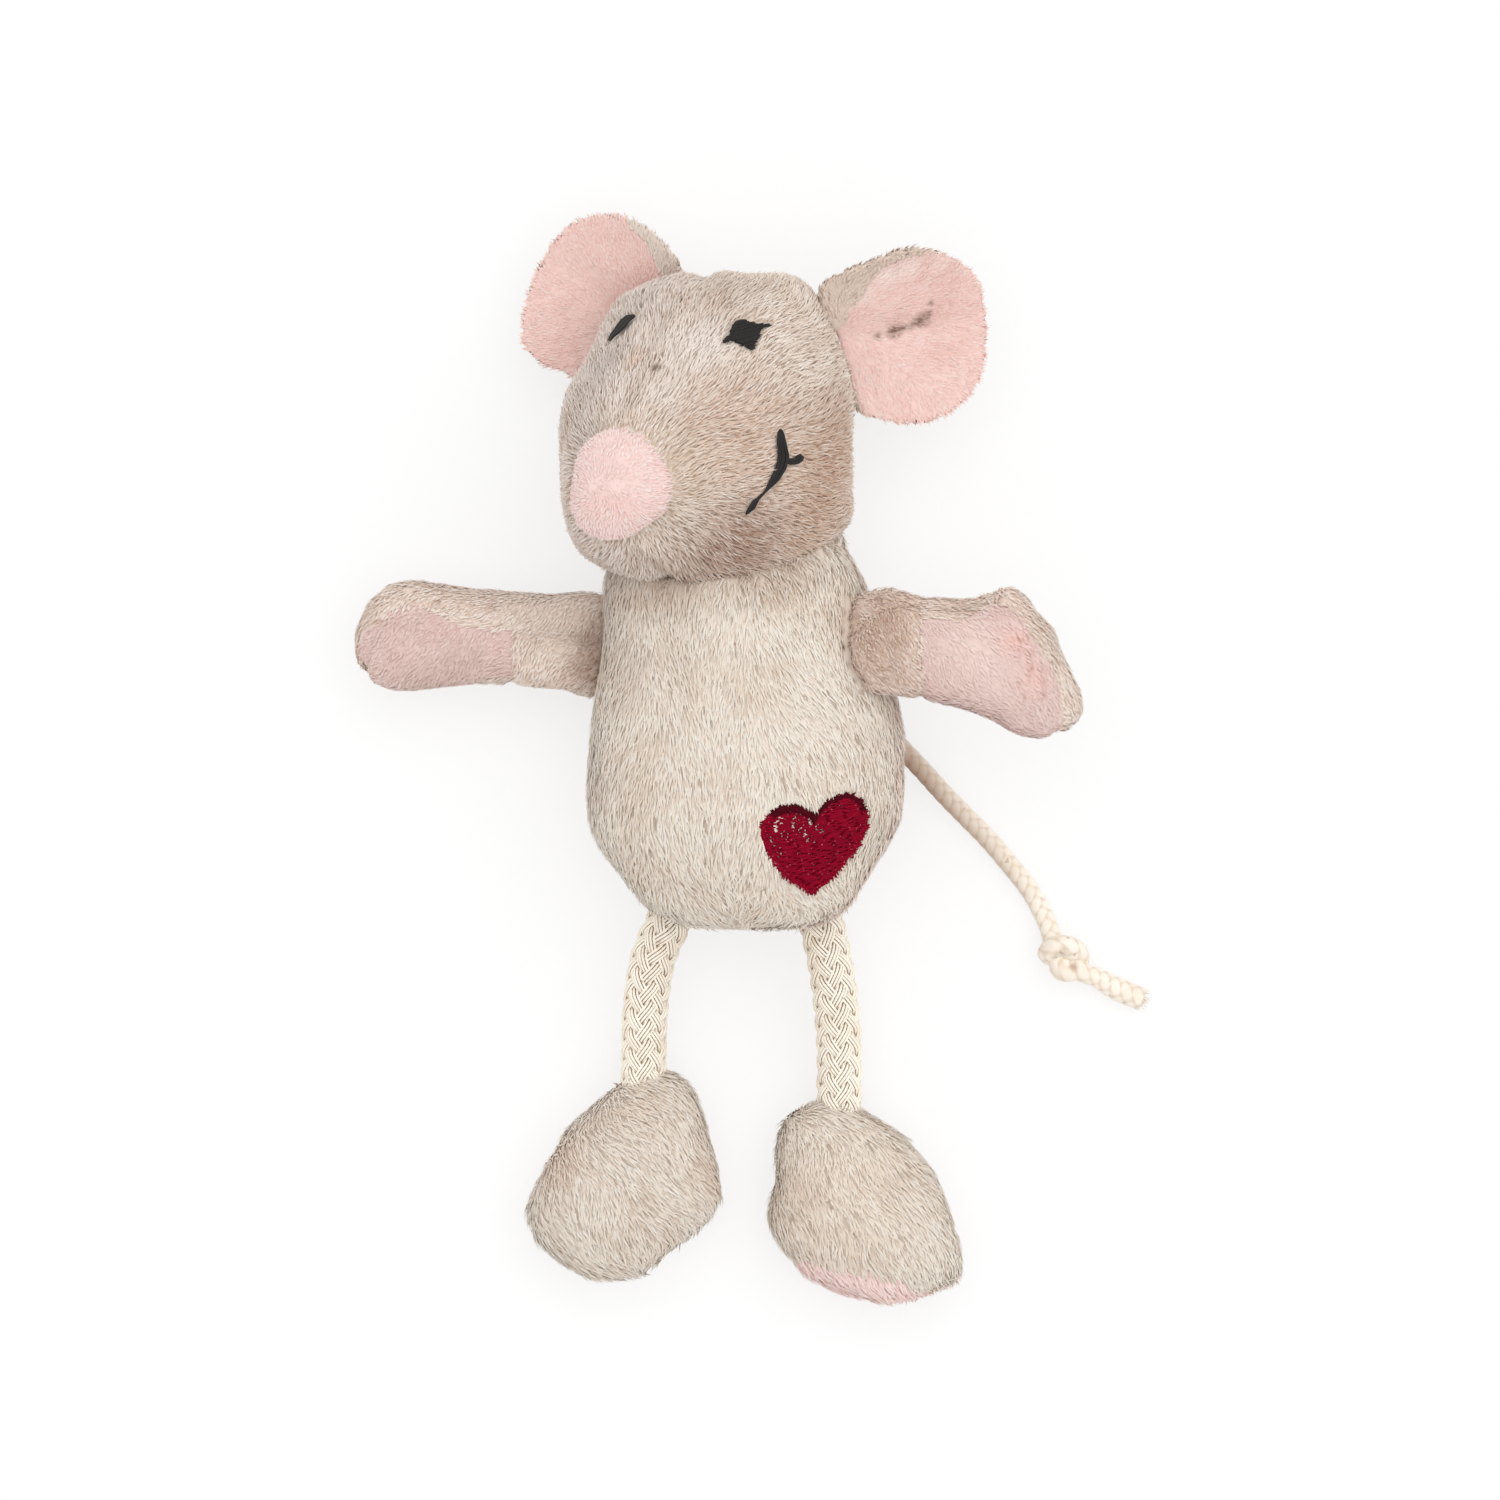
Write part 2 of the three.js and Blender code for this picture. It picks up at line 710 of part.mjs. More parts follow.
function foot(heel, shares, soleLean) {
  const outer = footForm(heel, shares, 0);
  const wall = offGround(outer.subtract(footForm(heel, shares, -cloth)));
  const lean = THREE.MathUtils.degToRad(soleLean);
  const upward = new THREE.Vector3(0, Math.sin(lean), Math.cos(lean));
  const down = upward.clone().negate();
  const middle = new THREE.Vector3(heel.x, heel.y - footLength / 2, footZ * soleShare);
  return {
    upper: wall.intersect(beyond(along(middle, upward, halfGap), upward)),
    sole: wall.intersect(beyond(along(middle, down, halfGap), down)),
    stuffing: footForm(heel, shares, -cloth - seamGap).subtract(
      beyond(new THREE.Vector3(0, 0, backFlat), new THREE.Vector3(0, 0, -1)),
    ),
  };
}

const footLeft = foot(footLeftHeel, footLeftShares, soleLeanLeftDegrees);
const footRight = foot(footRightHeel, footRightShares, soleLeanRightDegrees);

// Cords: a round section run along a route
function cord(points, diameter, sides, steps) {
  const section = new THREE.Shape();
  section.setFromPoints(
    Array.from({ length: sides }, (_, side) => {
      const angle = (2 * Math.PI * side) / sides;
      return new THREE.Vector2(Math.cos(angle), Math.sin(angle)).multiplyScalar(diameter / 2);
    }),
  );
  const route = new THREE.CatmullRomCurve3(points.map((point) => new THREE.Vector3(...point)));
  return solidOf(
    new THREE.ExtrudeGeometry(section, { steps, extrudePath: route, bevelEnabled: false }),
  );
}

// The leg cords leave the seam under the belly and run to the heels
const legLeftRoute = [
  [-5.4, -18, 12.6],
  [-7.4, -22.4, 12.4],
  [-9.1, -28, 11],
  [-9.9, -34.7, 9.4],
  [-10.2, -40.2, 8.4],
  [-10.3, -45.4, 7.9],
  [-10.4, -50, 7.8],
];
const legRightRoute = [
  [13.4, -18, 12.6],
  [14.8, -22.4, 12.4],
  [16.4, -30, 10.8],
  [17.2, -38.6, 9],
  [17, -46, 8],
  [16.8, -54, 7.8],
];

function leg(route, heel, shares) {
  return cord(route, legCord, 10, 12)
    .subtract(torsoForm(seamGap))
    .subtract(footForm(heel, shares, seamGap));
}

const legLeft = leg(legLeftRoute, footLeftHeel, footLeftShares);
const legRight = leg(legRightRoute, footRightHeel, footRightShares);

// The tail leaves the side seam low at the back, drops to the ground and runs to its knot
const tailRoute = [
  [20.6, 5.6, 8.8],
  [22.6, 4.2, 8.2],
  [24.2, 2.7, 7.5],
  [26.2, 0.7, 6.5],
  [28.6, -1.8, 5.3],
  [31.4, -4.8, 4.1],
  [34.5, -7.9, 2.9],
  [37.7, -11.1, 2],
  [40.6, -14.5, 1.6],
  [43.1, -17.9, 1.5],
  [44.4, -20.8, 1.6],
  [45.2, -23.2, 2.1],
];
const tailEndRoute = [
  [52.7, -30.2, 2.3],
  [54.6, -31.1, 1.7],
  [56.6, -31.9, 1.5],
  [58.6, -32.9, 1.5],
];

// An overhand knot: round its own standing part, under it and up through the loop. In the shares
// of the cord's thickness, the tail runs along X.
const knotShares = [
  [-1.75, 0, -0.3],
  [-0.9, -0.1, -0.25],
  [0, -0.35, -0.2],
  [0.75, -0.35, -0.1],
  [1.08, 0.15, -0.05],
  [0.6, 0.66, 0.2],
  [-0.3, 0.6, 0.55],
  [-0.82, 0, 0.72],
  [-0.86, -0.68, 0.3],
  [-0.5, -0.66, -0.45],
  [-0.05, -0.1, -0.95],
  [0.45, 0.3, -0.3],
  [0.95, 0.38, 0.55],
  [1.5, 0.5, 0.25],
  [1.95, 0.72, -0.15],
];

function knotStretch(from, to) {
  const stretch = knotShares.slice(from, to).map((share) => {
    const point = new THREE.Vector3(...share).multiplyScalar(tailCord * knotTightShare);
    point.applyAxisAngle(new THREE.Vector3(0, 0, 1), THREE.MathUtils.degToRad(knotTurnDegrees));
    return point.add(new THREE.Vector3(knotX, knotY, knotZ)).toArray();
  });
  return cord(stretch, tailCord, 7, Math.round(1.6 * stretch.length));
}

const aroundTail = sweptPast(torsoForm(seamGap), {
  at: new THREE.Vector3(...tailRoute[1]),
  axis: new THREE.Vector3(0, 0, 1),
  low: tailOutDegrees,
  high: tailInDegrees,
});
const knot = offGround(knotStretch(0, 6).add(knotStretch(4, 11)).add(knotStretch(9, 15)));
const tail = cord(tailRoute, tailCord, 8, 24).subtract(aroundTail);
const tailEnd = cord(tailEndRoute, tailCord, 8, 5);

const toy = new THREE.Group();

function add(name, solid, material) {
  const mesh = new THREE.Mesh(geometryOf(solid), material);
  mesh.name = name;
  toy.add(mesh);
  return mesh;
}

const material = (color, roughness) =>
  new THREE.MeshStandardMaterial({ color, roughness, metalness: 0 });
const greyPlush = material(0xc9bbac, 0.95);
const creamPlush = material(0xe2d7c6, 0.95);
const pinkPlush = material(0xefc6bd, 0.95);
const stuffing = material(0xf4f2ee, 1);
const blackThread = material(0x16120f, 0.7);
const redThread = material(0x831228, 0.6);
const cotton = material(0xefe4d0, 0.9);

add("head_left_panel", headLeft, greyPlush);
add("head_right_panel", headRight, greyPlush);
add("nose_cap", noseCap, pinkPlush);
add("head_stuffing", headStuffing, stuffing);
add("eye_right", eye, blackThread);
add("eye_left", eye, blackThread).applyMatrix4(mirror);
add("mouth_right", mouth, blackThread);
add("mouth_left", mouth, blackThread).applyMatrix4(mirror);
for (const [side, pieces] of Object.entries({ left: earLeft, right: earRight })) {
  add(`ear_${side}_front`, pieces.front, pinkPlush);
  add(`ear_${side}_back`, pieces.back, greyPlush);
}
add("body_front_panel", torsoFrontPanel, creamPlush);
add("body_back_panel", torsoBackPanel, greyPlush);
add("body_stuffing", torsoStuffing, stuffing);
add("heart_patch", heart, redThread);
for (const [side, pieces] of Object.entries({ left: armLeft, right: armRight })) {
  add(`arm_${side}_front`, pieces.front, greyPlush);
  add(`palm_${side}`, pieces.palm, pinkPlush);
  add(`arm_${side}_back`, pieces.back, greyPlush);
  add(`arm_${side}_stuffing`, pieces.stuffing, stuffing);
}
add("leg_cord_left", legLeft, cotton);
add("leg_cord_right", legRight, cotton);
for (const [side, pieces] of Object.entries({ left: footLeft, right: footRight })) {
  add(`foot_${side}_upper`, pieces.upper, greyPlush);
  add(`foot_${side}_sole`, pieces.sole, pinkPlush);
  add(`foot_${side}_stuffing`, pieces.stuffing, stuffing);
}
add("tail_cord", tail, cotton);
add("tail_knot", knot, cotton);
add("tail_end", tailEnd, cotton);

// The origin is under the middle of the toy, on the ground, measured without the tail
toy.updateMatrixWorld(true);
const bounds = new THREE.Box3();
for (const mesh of toy.children) {
  if (!mesh.name.startsWith("tail")) bounds.expandByObject(mesh);
}
const middle = bounds.getCenter(new THREE.Vector3());
toy.position.set(-middle.x, -middle.y, -bounds.min.z);

export default toy;
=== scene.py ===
import json
import math

import bpy
import numpy as np
from mathutils import Matrix, Vector
from mathutils.bvhtree import BVHTree
from mathutils.kdtree import KDTree

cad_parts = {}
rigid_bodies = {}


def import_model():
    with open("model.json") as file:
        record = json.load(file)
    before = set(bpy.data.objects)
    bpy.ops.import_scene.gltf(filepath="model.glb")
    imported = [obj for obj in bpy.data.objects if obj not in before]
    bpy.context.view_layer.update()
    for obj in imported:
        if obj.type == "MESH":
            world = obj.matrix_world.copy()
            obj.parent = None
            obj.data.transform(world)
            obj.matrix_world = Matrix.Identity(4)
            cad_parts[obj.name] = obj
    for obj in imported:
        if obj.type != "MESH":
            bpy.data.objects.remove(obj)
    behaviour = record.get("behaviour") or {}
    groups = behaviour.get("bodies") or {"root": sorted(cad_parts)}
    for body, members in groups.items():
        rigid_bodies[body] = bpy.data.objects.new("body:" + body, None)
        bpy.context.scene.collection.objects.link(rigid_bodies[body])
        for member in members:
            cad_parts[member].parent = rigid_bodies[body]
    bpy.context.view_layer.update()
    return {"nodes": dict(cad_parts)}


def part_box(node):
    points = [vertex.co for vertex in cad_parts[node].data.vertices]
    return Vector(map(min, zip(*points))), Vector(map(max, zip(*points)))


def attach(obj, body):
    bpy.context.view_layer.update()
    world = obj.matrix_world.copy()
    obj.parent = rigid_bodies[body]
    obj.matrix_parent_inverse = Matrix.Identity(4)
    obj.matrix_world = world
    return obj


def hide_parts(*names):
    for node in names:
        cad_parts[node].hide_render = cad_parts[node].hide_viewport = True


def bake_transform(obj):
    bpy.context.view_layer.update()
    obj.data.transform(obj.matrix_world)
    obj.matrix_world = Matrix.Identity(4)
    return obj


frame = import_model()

cut = frame["nodes"]
scene = bpy.context.scene
scene.view_settings.view_transform = "Standard"
bpy.ops.object.select_all(action="DESELECT")


# The table: a white sheet. The toy lies on it on its back, seen from straight above through a
# long lens, in soft light from all round that is a little stronger from the upper right.
class Dye:
    """A socket in a material. Sums with it add Math nodes, and node() adds any other node."""

    def __init__(self, tree, socket=None):
        self.tree, self.socket = tree, socket

    def node(self, kind, settings=None, inputs=None, output=0):
        added = self.tree.nodes.new("ShaderNode" + kind)
        for name, value in (settings or {}).items():
            setattr(added, name, value)
        for name, value in (inputs or {}).items():
            if isinstance(value, Dye):
                self.tree.links.new(value.socket, added.inputs[name])
            else:
                added.inputs[name].default_value = value
        return Dye(self.tree, added.outputs[output] if added.outputs else None)

    def maths(self, operation, first, second):
        return self.node("Math", {"operation": operation}, {0: first, 1: second})

    def __add__(self, other):
        return self.maths("ADD", self, other)

    def __mul__(self, other):
        return self.maths("MULTIPLY", self, other)

    __radd__ = __add__
    __rmul__ = __mul__

    def between(self, low, high, start=0.0, end=1.0):
        """start where this is low, end where it is high, and smoothly in between."""
        ramp = {"interpolation_type": "SMOOTHSTEP"}
        return self.node("MapRange", ramp, {0: self, 1: low, 2: high, 3: start, 4: end})

    def blend(self, first, second):
        """The first colour where this is 0, the second where it is 1."""
        return self.node("Mix", {"data_type": "RGBA"}, {0: self, 6: first, 7: second}, 2)

    def layer(self, name):
        """A number painted on the points of the piece."""
        return self.node("Attribute", {"attribute_name": name}, output="Fac")

    def noise(self, scale, detail, **more):
        place = self.node("TexCoord", output="Object")
        return self.node("TexNoise", {}, {"Vector": place, "Scale": scale, "Detail": detail, **more}, "Fac")

    def near(self, centre, radius, strength):
        """strength at a place on the piece, and less round it down to 0 at a radius."""
        place = self.node("TexCoord", output="Object")
        far = self.node("VectorMath", {"operation": "DISTANCE"}, {0: place, 1: centre}, "Value")
        return far.between(0, radius, strength, 0)

    def surface(self, tone, roughness, bumps, bump_strength, more, bump_depth=0.0001):
        """Ends a material that has a colour, a roughness and fine bumps."""
        bump = self.node("Bump", {}, {"Strength": bump_strength, "Distance": bump_depth, "Height": bumps})
        look = {"Base Color": tone, "Roughness": roughness, "Normal": bump, **more}
        self.node("OutputMaterial", {}, {"Surface": self.node("BsdfPrincipled", {}, look)})


def colour(red, green, blue):
    """A colour as a paint chart gives it, from 0 to 255, for a shader."""
    chart = np.array([red, green, blue]) / 255
    return (*np.where(chart > 0.04045, ((chart + 0.055) / 1.055) ** 2.4, chart / 12.92), 1)


def dye_bath(name):
    made = bpy.data.materials.new(name)
    made.use_nodes = True
    made.node_tree.nodes.clear()
    return made, Dye(made.node_tree)


WHITE = (1, 1, 1, 1)
SEEN_SHARE = 0.7
SKY_LIGHT = 0.78


def seen_directly(dye):
    rays = [dye.node("LightPath", output=f"Is {ray} Ray") for ray in ("Camera", "Glossy", "Transmission")]
    return rays[0] + rays[1] + rays[2]


bpy.ops.object.camera_add(location=(0.00419, 0.0013, 1.914), rotation=(0, 0, 0))
scene.camera = bpy.context.object
scene.camera.data.lens = 330
scene.camera.data.sensor_width = 36

bpy.ops.object.light_add(type="SUN", location=(0.2, 0.3, 1))
window = bpy.context.object
window.rotation_euler = Vector((-0.16, -0.22, -1)).to_track_quat("-Z", "Y").to_euler()
window.data.angle = math.radians(70)
window.data.energy = 1.2

scene.world = bpy.data.worlds.new("sky")
scene.world.use_nodes = True
scene.world.node_tree.nodes.clear()
sky = Dye(scene.world.node_tree)
sky_level = seen_directly(sky).between(0, 1, SKY_LIGHT, 1)
sky_shader = sky.node("Background", {}, {"Color": WHITE, "Strength": sky_level})
sky.node("OutputWorld", {}, {"Surface": sky_shader})

bpy.ops.mesh.primitive_plane_add(size=4, location=(0, 0, 0))
sheet = bpy.context.object
sheet.name = "white_sheet"
sheet_paper, dye = dye_bath("white_sheet")
paper = dye.node("BsdfDiffuse", {}, {"Color": (0.94, 0.94, 0.94, 1)})
glow = dye.node("Emission", {}, {"Color": WHITE, "Strength": 1.0})
shown = dye.node("MixShader", {}, {0: seen_directly(dye) * SEEN_SHARE, 1: paper, 2: glow})
dye.node("OutputMaterial", {}, {"Surface": shown})
sheet.data.materials.append(sheet_paper)


# Tail: a limp cotton cord, plaited from eight yarns, sewn into the side seam low at the back.
# It drops to the table, has an overhand knot near its end, and is cut bare with loose ends.
TAIL_THICK = 0.0027
TAIL_YARNS = 4
TAIL_LAY = 0.0072
TAIL_SIDES = 32
tail_before_knot = [
    (20.3, 5.73, 8.8), (22.3, 4.33, 8.2), (23.9, 2.83, 7.5), (25.9, 0.83, 6.5), (28.3, -1.67, 5.3),
    (31.05, -4.72, 4.1), (34.1, -7.85, 2.9), (37.25, -11.04, 2.0), (40.15, -14.44, 1.6),
    (42.85, -17.85, 1.5), (44.55, -20.72, 1.6), (45.6, -23.05, 2.1),
]
knot_turns = [
    (0, -0.35, 0.1), (0.55, -0.6, 0.4), (0.98, -0.28, 0.05), (1, 0.3, -0.5),
    (0.35, 0.75, 0.1), (-0.42, 0.4, 0.75), (-0.78, -0.22, 0.68), (-0.62, -0.62, 0),
    (-0.25, -0.35, -0.75), (0.3, 0.05, -0.55), (0.95, 0.12, 0), (1.55, 0.28, 0),
]
tail_after_knot = [(52.3, -30.3, 2.2), (54.4, -31.5, 1.8), (56.5, -32.5, 1.7), (58.8, -33.4, 1.7)]
knot_middle = np.array([47.75, -27.25, 3.0])
knot_heading = Matrix.Rotation(math.radians(-52), 3, "Z")
knot_scale = 2.32
knot_line = [tuple(knot_middle + np.array(knot_heading @ Vector(turn)) * knot_scale) for turn in knot_turns]


def run_along(line):
    """How far along a line each of its points lies."""
    return np.concatenate([[0], np.cumsum(np.linalg.norm(np.diff(line, axis=0), axis=1))])


def points_along(line, run, stops):
    return np.column_stack([np.interp(stops, run, numbers) for numbers in line.T])


def smooth_route(points, step):
    """A smooth line through points in millimetres, as points in metres, one every step."""
    p = np.array(points, float) / 1000
    p = np.vstack([2 * p[0] - p[1], p, 2 * p[-1] - p[-2]])
    t = np.linspace(0, 1, 40, endpoint=False)[:, None]
    line = [
        (2 * b + (c - a) * t + (2 * a - 5 * b + 4 * c - d) * t**2 + (3 * b - a - 3 * c + d) * t**3) / 2
        for a, b, c, d in zip(p, p[1:], p[2:], p[3:])
    ]
    line = np.vstack([*line, p[-2:-1]])
    run = run_along(line)
    even = np.linspace(0, run[-1], max(2, round(run[-1] / step) + 1))
    return points_along(line, run, even), even


def unit(vectors):
    return vectors / np.maximum(np.linalg.norm(vectors, axis=-1, keepdims=True), 1e-12)


def carried_frames(line):
    """Two directions square to a line at each of its points, carried along without a twist."""
    along = unit(np.gradient(line, axis=0))
    start = np.cross(along[0], [0, 0, 1] if abs(along[0][2]) < 0.9 else [1, 0, 0])
    side = [start / np.linalg.norm(start)]
    for heading in along[1:]:
        turned = side[-1] - heading * (side[-1] @ heading)
        side.append(turned / np.linalg.norm(turned))
    side = np.array(side)
    return side, np.cross(along, side)


def made_mesh(name, points, *faces):
    """An object of points and faces. Each group of faces has one number of corners."""
    mesh = bpy.data.meshes.new(name)
    corners = np.concatenate([group.ravel() for group in faces]).astype(np.int32)
    sizes = np.concatenate([np.full(len(group), group.shape[1]) for group in faces])
    mesh.vertices.add(len(points))
    mesh.vertices.foreach_set("co", np.asarray(points, np.float32).ravel())
    mesh.loops.add(len(corners))
    mesh.loops.foreach_set("vertex_index", corners)
    mesh.polygons.add(len(sizes))
    mesh.polygons.foreach_set("loop_start", np.concatenate([[0], np.cumsum(sizes)[:-1]]).astype(np.int32))
    mesh.update(calc_edges=True)
    mesh.shade_smooth()
    piece = bpy.data.objects.new(name, mesh)
    scene.collection.objects.link(piece)
    return piece


def tubes(name, strands):
    """Closed tubes, each given as its rings of points: an array of rings, sides and places."""
    points, walls, caps, first = [], [], [], 0
    for rings in strands:
        count, sides = rings.shape[:2]
        row, side = np.arange(count - 1)[:, None] * sides, np.arange(sides)
        here, after = first + row + side, first + row + (side + 1) % sides
        walls.append(np.stack([here, after, after + sides, here + sides], axis=-1).reshape(-1, 4))
        caps.append(np.array([first + side[::-1], first + (count - 1) * sides + side]))
        points.append(rings.reshape(-1, 3))
        first += count * sides
    return made_mesh(name, np.vstack(points), np.vstack(walls), *caps)


def painted(piece, name, values):
    """A number for each point of a piece, which its material reads."""
    layer = piece.data.attributes.new(name, "FLOAT", "POINT")
    layer.data.foreach_set("value", np.asarray(values, np.float32).ravel())


def over_under(crossing):
    """1 where a yarn lies over the two it crosses, -1 where it lies under the next two."""
    return np.clip(1.3 * np.sin(np.pi / 2 * crossing + np.pi / 4), -1, 1)


def plait_height(turn, run, yarns, lay):
    """How high a plait's surface stands at an angle and a place along it: its two sets of yarns
    wind opposite ways, and each yarn passes over two and under two."""
    heights = []
    for one, other, sign in ((1, -1, 1), (-1, 1, -1)):
        across = yarns * (turn / (2 * np.pi) + one * run / lay)
        along = yarns * (turn / (2 * np.pi) + other * run / lay)
        nearest = np.round(across)
        round_back = np.sqrt(np.maximum(0, 1 - (1.9 * (across - nearest)) ** 2))
        heights.append(0.55 * round_back + 0.45 * sign * over_under(nearest + along))
    return np.maximum(*heights)


tail_line, tail_run = smooth_route(tail_before_knot + knot_line + tail_after_knot, 0.00014)
side, up = carried_frames(tail_line)
angle = np.linspace(0, 2 * np.pi, TAIL_SIDES, endpoint=False)
relief = np.maximum(plait_height(angle[None, :], tail_run[:, None], TAIL_YARNS, TAIL_LAY), 0.4)
from_knot = np.linalg.norm(tail_line - knot_middle / 1000, axis=1)
near_end = np.clip((tail_run - tail_run[-1] + 0.008) / 0.004, 0, 1)
swollen = 1 + 0.2 * near_end + 0.2 * np.exp(-((from_knot / 0.0028) ** 4))
reach = ((TAIL_THICK / 2 - 0.00018 + 0.0002 * relief) * swollen[:, None])[..., None]
spokes = side[:, None] * np.cos(angle)[:, None] + up[:, None] * np.sin(angle)[:, None]
tail_rings = tail_line[:, None] + spokes * reach
tail_rings[..., 2] = np.maximum(tail_rings[..., 2], 0.00005)
tail = tubes("tail", [tail_rings])
# The plait's low parts get the painted gap shade.
painted(tail, "proud", np.clip((relief - 0.35) / 0.65, 0, 1))


def cotton(name, gap_shade, tone, painted_shades=()):
    """Unbleached cotton yarn, with single brown specks of seed husk and painted shade in the gaps
    between the yarns, where they lie low. The last argument lists spots of painted brown shade, each a place,
    its radius and its strength."""
    made, dye = dye_bath(name)
    # Painted shade: the gap colour where the yarn is least proud.
    yarn = dye.layer("proud").between(0.05, 0.85).blend(colour(*gap_shade), colour(*tone))
    yarn = (dye.noise(260, 3).between(0.42, 0.68) * 0.3).blend(yarn, colour(232, 212, 188))
    yarn = (dye.noise(900, 1).between(0.7, 0.76) * 0.5).blend(yarn, colour(168, 130, 98))
    # Spots of painted brown shade.
    for shade in painted_shades:
        yarn = dye.near(*shade).blend(yarn, colour(160, 122, 98))
    dye.surface(yarn, 0.85, dye.noise(5200, 3), 0.35, {"Sheen Weight": 0.15})
    return made


# Painted shade: brown along the lower-left side of the tail's first part, where the body shades it, and in
# the gaps between the lobes of the knot.
tail_painted_shade = [
    (tuple(tail_line[number] + [-0.0006, -0.0006, 0.0006]), 0.0036 - number * 0.000007, 0.95 - number * 0.003)
    for number in range(6, 250, 14)
]
tail_painted_shade += [
    ((0.0476, -0.0266, 0.0055), 0.0012, 0.7), ((0.0464, -0.0272, 0.005), 0.0009, 0.5),
    ((0.0491, -0.0288, 0.0045), 0.0011, 0.6),
]
tail_cotton = cotton("tail_cotton", (226, 209, 188), (248, 239, 226), tail_painted_shade)
tail.data.materials.append(tail_cotton)
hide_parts("tail_cord", "tail_knot", "tail_end")
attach(tail, "tail")


def thread(line, thick, sides):
    """The rings of a round thread along a line, drawn in at its two ends."""
    side, up = carried_frames(line)
    turn = np.linspace(0, 2 * np.pi, sides, endpoint=False)[:, None]
    size = np.full(len(line), thick / 2)
    size[[0, -1]] *= 0.5
    return line[:, None] + (side[:, None] * np.cos(turn) + up[:, None] * np.sin(turn)) * size[:, None, None]


chance = np.random.default_rng(7)
tip, before_tip = tail_line[-1], tail_line[-12]
tip_way = unit(tip - before_tip)
loose_ends = []
for number in range(40):
    spread = np.cross(tip_way, unit(chance.normal(size=3)))
    root = tip + spread * TAIL_THICK * 0.42 * chance.random() ** 0.5 - tip_way * 0.0006
    way = tip_way + 0.3 * spread + 0.22 * chance.normal(size=3)
    long = chance.uniform(0.0008, 0.0014)
    line = root + np.outer(np.linspace(0, long, 5), way)
    line[:, 2] = np.maximum(line[:, 2], 0.0001)
    loose_ends.append(thread(line, 0.00016, 4))
tail_ends = tubes("tail_loose_ends", loose_ends)
painted(tail_ends, "proud", np.full(len(tail_ends.data.vertices), 0.8))
tail_ends.data.materials.append(tail_cotton)
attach(tail_ends, "tail")


# Legs: two short lengths of a thicker cotton cord, plaited from twenty yarns of four threads.
# Each is sewn into the seam under the belly and into the back of its foot.
LEG_YARNS = 10
LEG_LAY = 0.0285
LEG_MIDDLE = 0.00262
LEG_THREAD = 0.00038
leg_routes = {
    "left": [(-5, -17.87, 12.6), (-7, -22.27, 12.4), (-9.3, -27.87, 11), (-10.3, -34.57, 9.4),
             (-10.5, -40.07, 8.4), (-10.6, -45.27, 7.9), (-10.7, -48.6, 7.8)],
    "right": [(12.6, -17.87, 12.6), (14, -22.27, 12.4), (15.6, -29.87, 10.8), (16.5, -38.47, 9),
              (16.6, -45.87, 8), (16.4, -52.6, 7.8)],
}
leg_cotton = cotton("leg_cotton", (204, 180, 154), (253, 245, 231))


def plaited_cord(name, route):
    line, run = smooth_route(route, 0.00045)
    side, up = carried_frames(line)
    threads, heights = [], []

    def wound(turn, far):
        return line + (side * np.cos(turn)[:, None] + up * np.sin(turn)[:, None]) * far[:, None]

    for hand in (1, -1):
        for yarn in range(LEG_YARNS):
            turn = 2 * np.pi * (yarn / LEG_YARNS - hand * run / LEG_LAY)
            height = hand * over_under(2 * yarn - hand * 2 * LEG_YARNS * run / LEG_LAY)
            for place in (-1.5, -0.5, 0.5, 1.5):
                aside = place * LEG_THREAD * 1.06 / (LEG_MIDDLE * math.cos(math.radians(32)))
                far = LEG_MIDDLE + height * 0.00042 - 0.00012 * (abs(place) > 1)
                centre = wound(turn + aside, far)
                strand = thread(centre, LEG_THREAD, 6)
                threads.append(strand)
                # Painted shade: each thread is darker on the side that faces in and where it dips under.
                out, about = unit(centre - line)[:, None], unit(strand - centre[:, None])
                outward = np.clip((about * out).sum(2), -0.2, 1)
                proud = 0.35 + (far - LEG_MIDDLE)[:, None] / 0.0016 + 0.55 * outward
                heights.append(np.clip(proud, 0, 1).ravel())
    # The core under the yarns, painted all in the gap shade.
    core = np.linspace(0, 2 * np.pi, 16, endpoint=False)
    threads.append(np.stack([wound(np.full(len(run), turn), np.full(len(run), 0.0022)) for turn in core], 1))
    heights.append(np.zeros(len(run) * 16))
    cord = tubes(name, threads)
    painted(cord, "proud", np.concatenate(heights))
    cord.data.materials.append(leg_cotton)
    return cord


for hand, route in leg_routes.items():
    leg = plaited_cord(f"leg_cord_{hand}_plait", route)
    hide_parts(f"leg_cord_{hand}")
    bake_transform(leg)


# Body: a pear-shaped bag of cream plush in front and grey behind, sewn round its side seam and
# filled with polyester fibre. The pile lies down towards the legs.
STUFFING_SLACK = 0.0008
SEAM_HELD = 0.0012
BELLY_SIDE = 0.015
CLOTH_REST = 0.0003
TUFT_STANDS = 0.4
TUFT_FLAT = 0.13
TUFT_STRAY = 0.11
CLOTH_STEPS = 20
UPWARDS = Vector((0, 0, 1))


def threes(rows, name, kind=np.float32):
    """What a mesh keeps for its points or triangles, three numbers for each."""
    numbers = np.empty(len(rows) * 3, kind)
    rows.foreach_get(name, numbers)
    return numbers.reshape(-1, 3)


def points_of(piece):
    return threes(piece.data.vertices, "co").astype(float)


def normals_of(piece):
    return threes(piece.data.vertex_normals, "vector").astype(float)


def corners_of(sheet):
    sheet.data.calc_loop_triangles()
    return threes(sheet.data.loop_triangles, "vertices", np.int32)


def move_points(piece, places):
    piece.data.vertices.foreach_set("co", np.asarray(places, np.float32).ravel())
    piece.data.update()


def pick_out(piece):
    bpy.ops.object.select_all(action="DESELECT")
    piece.select_set(True)
    bpy.context.view_layer.objects.active = piece


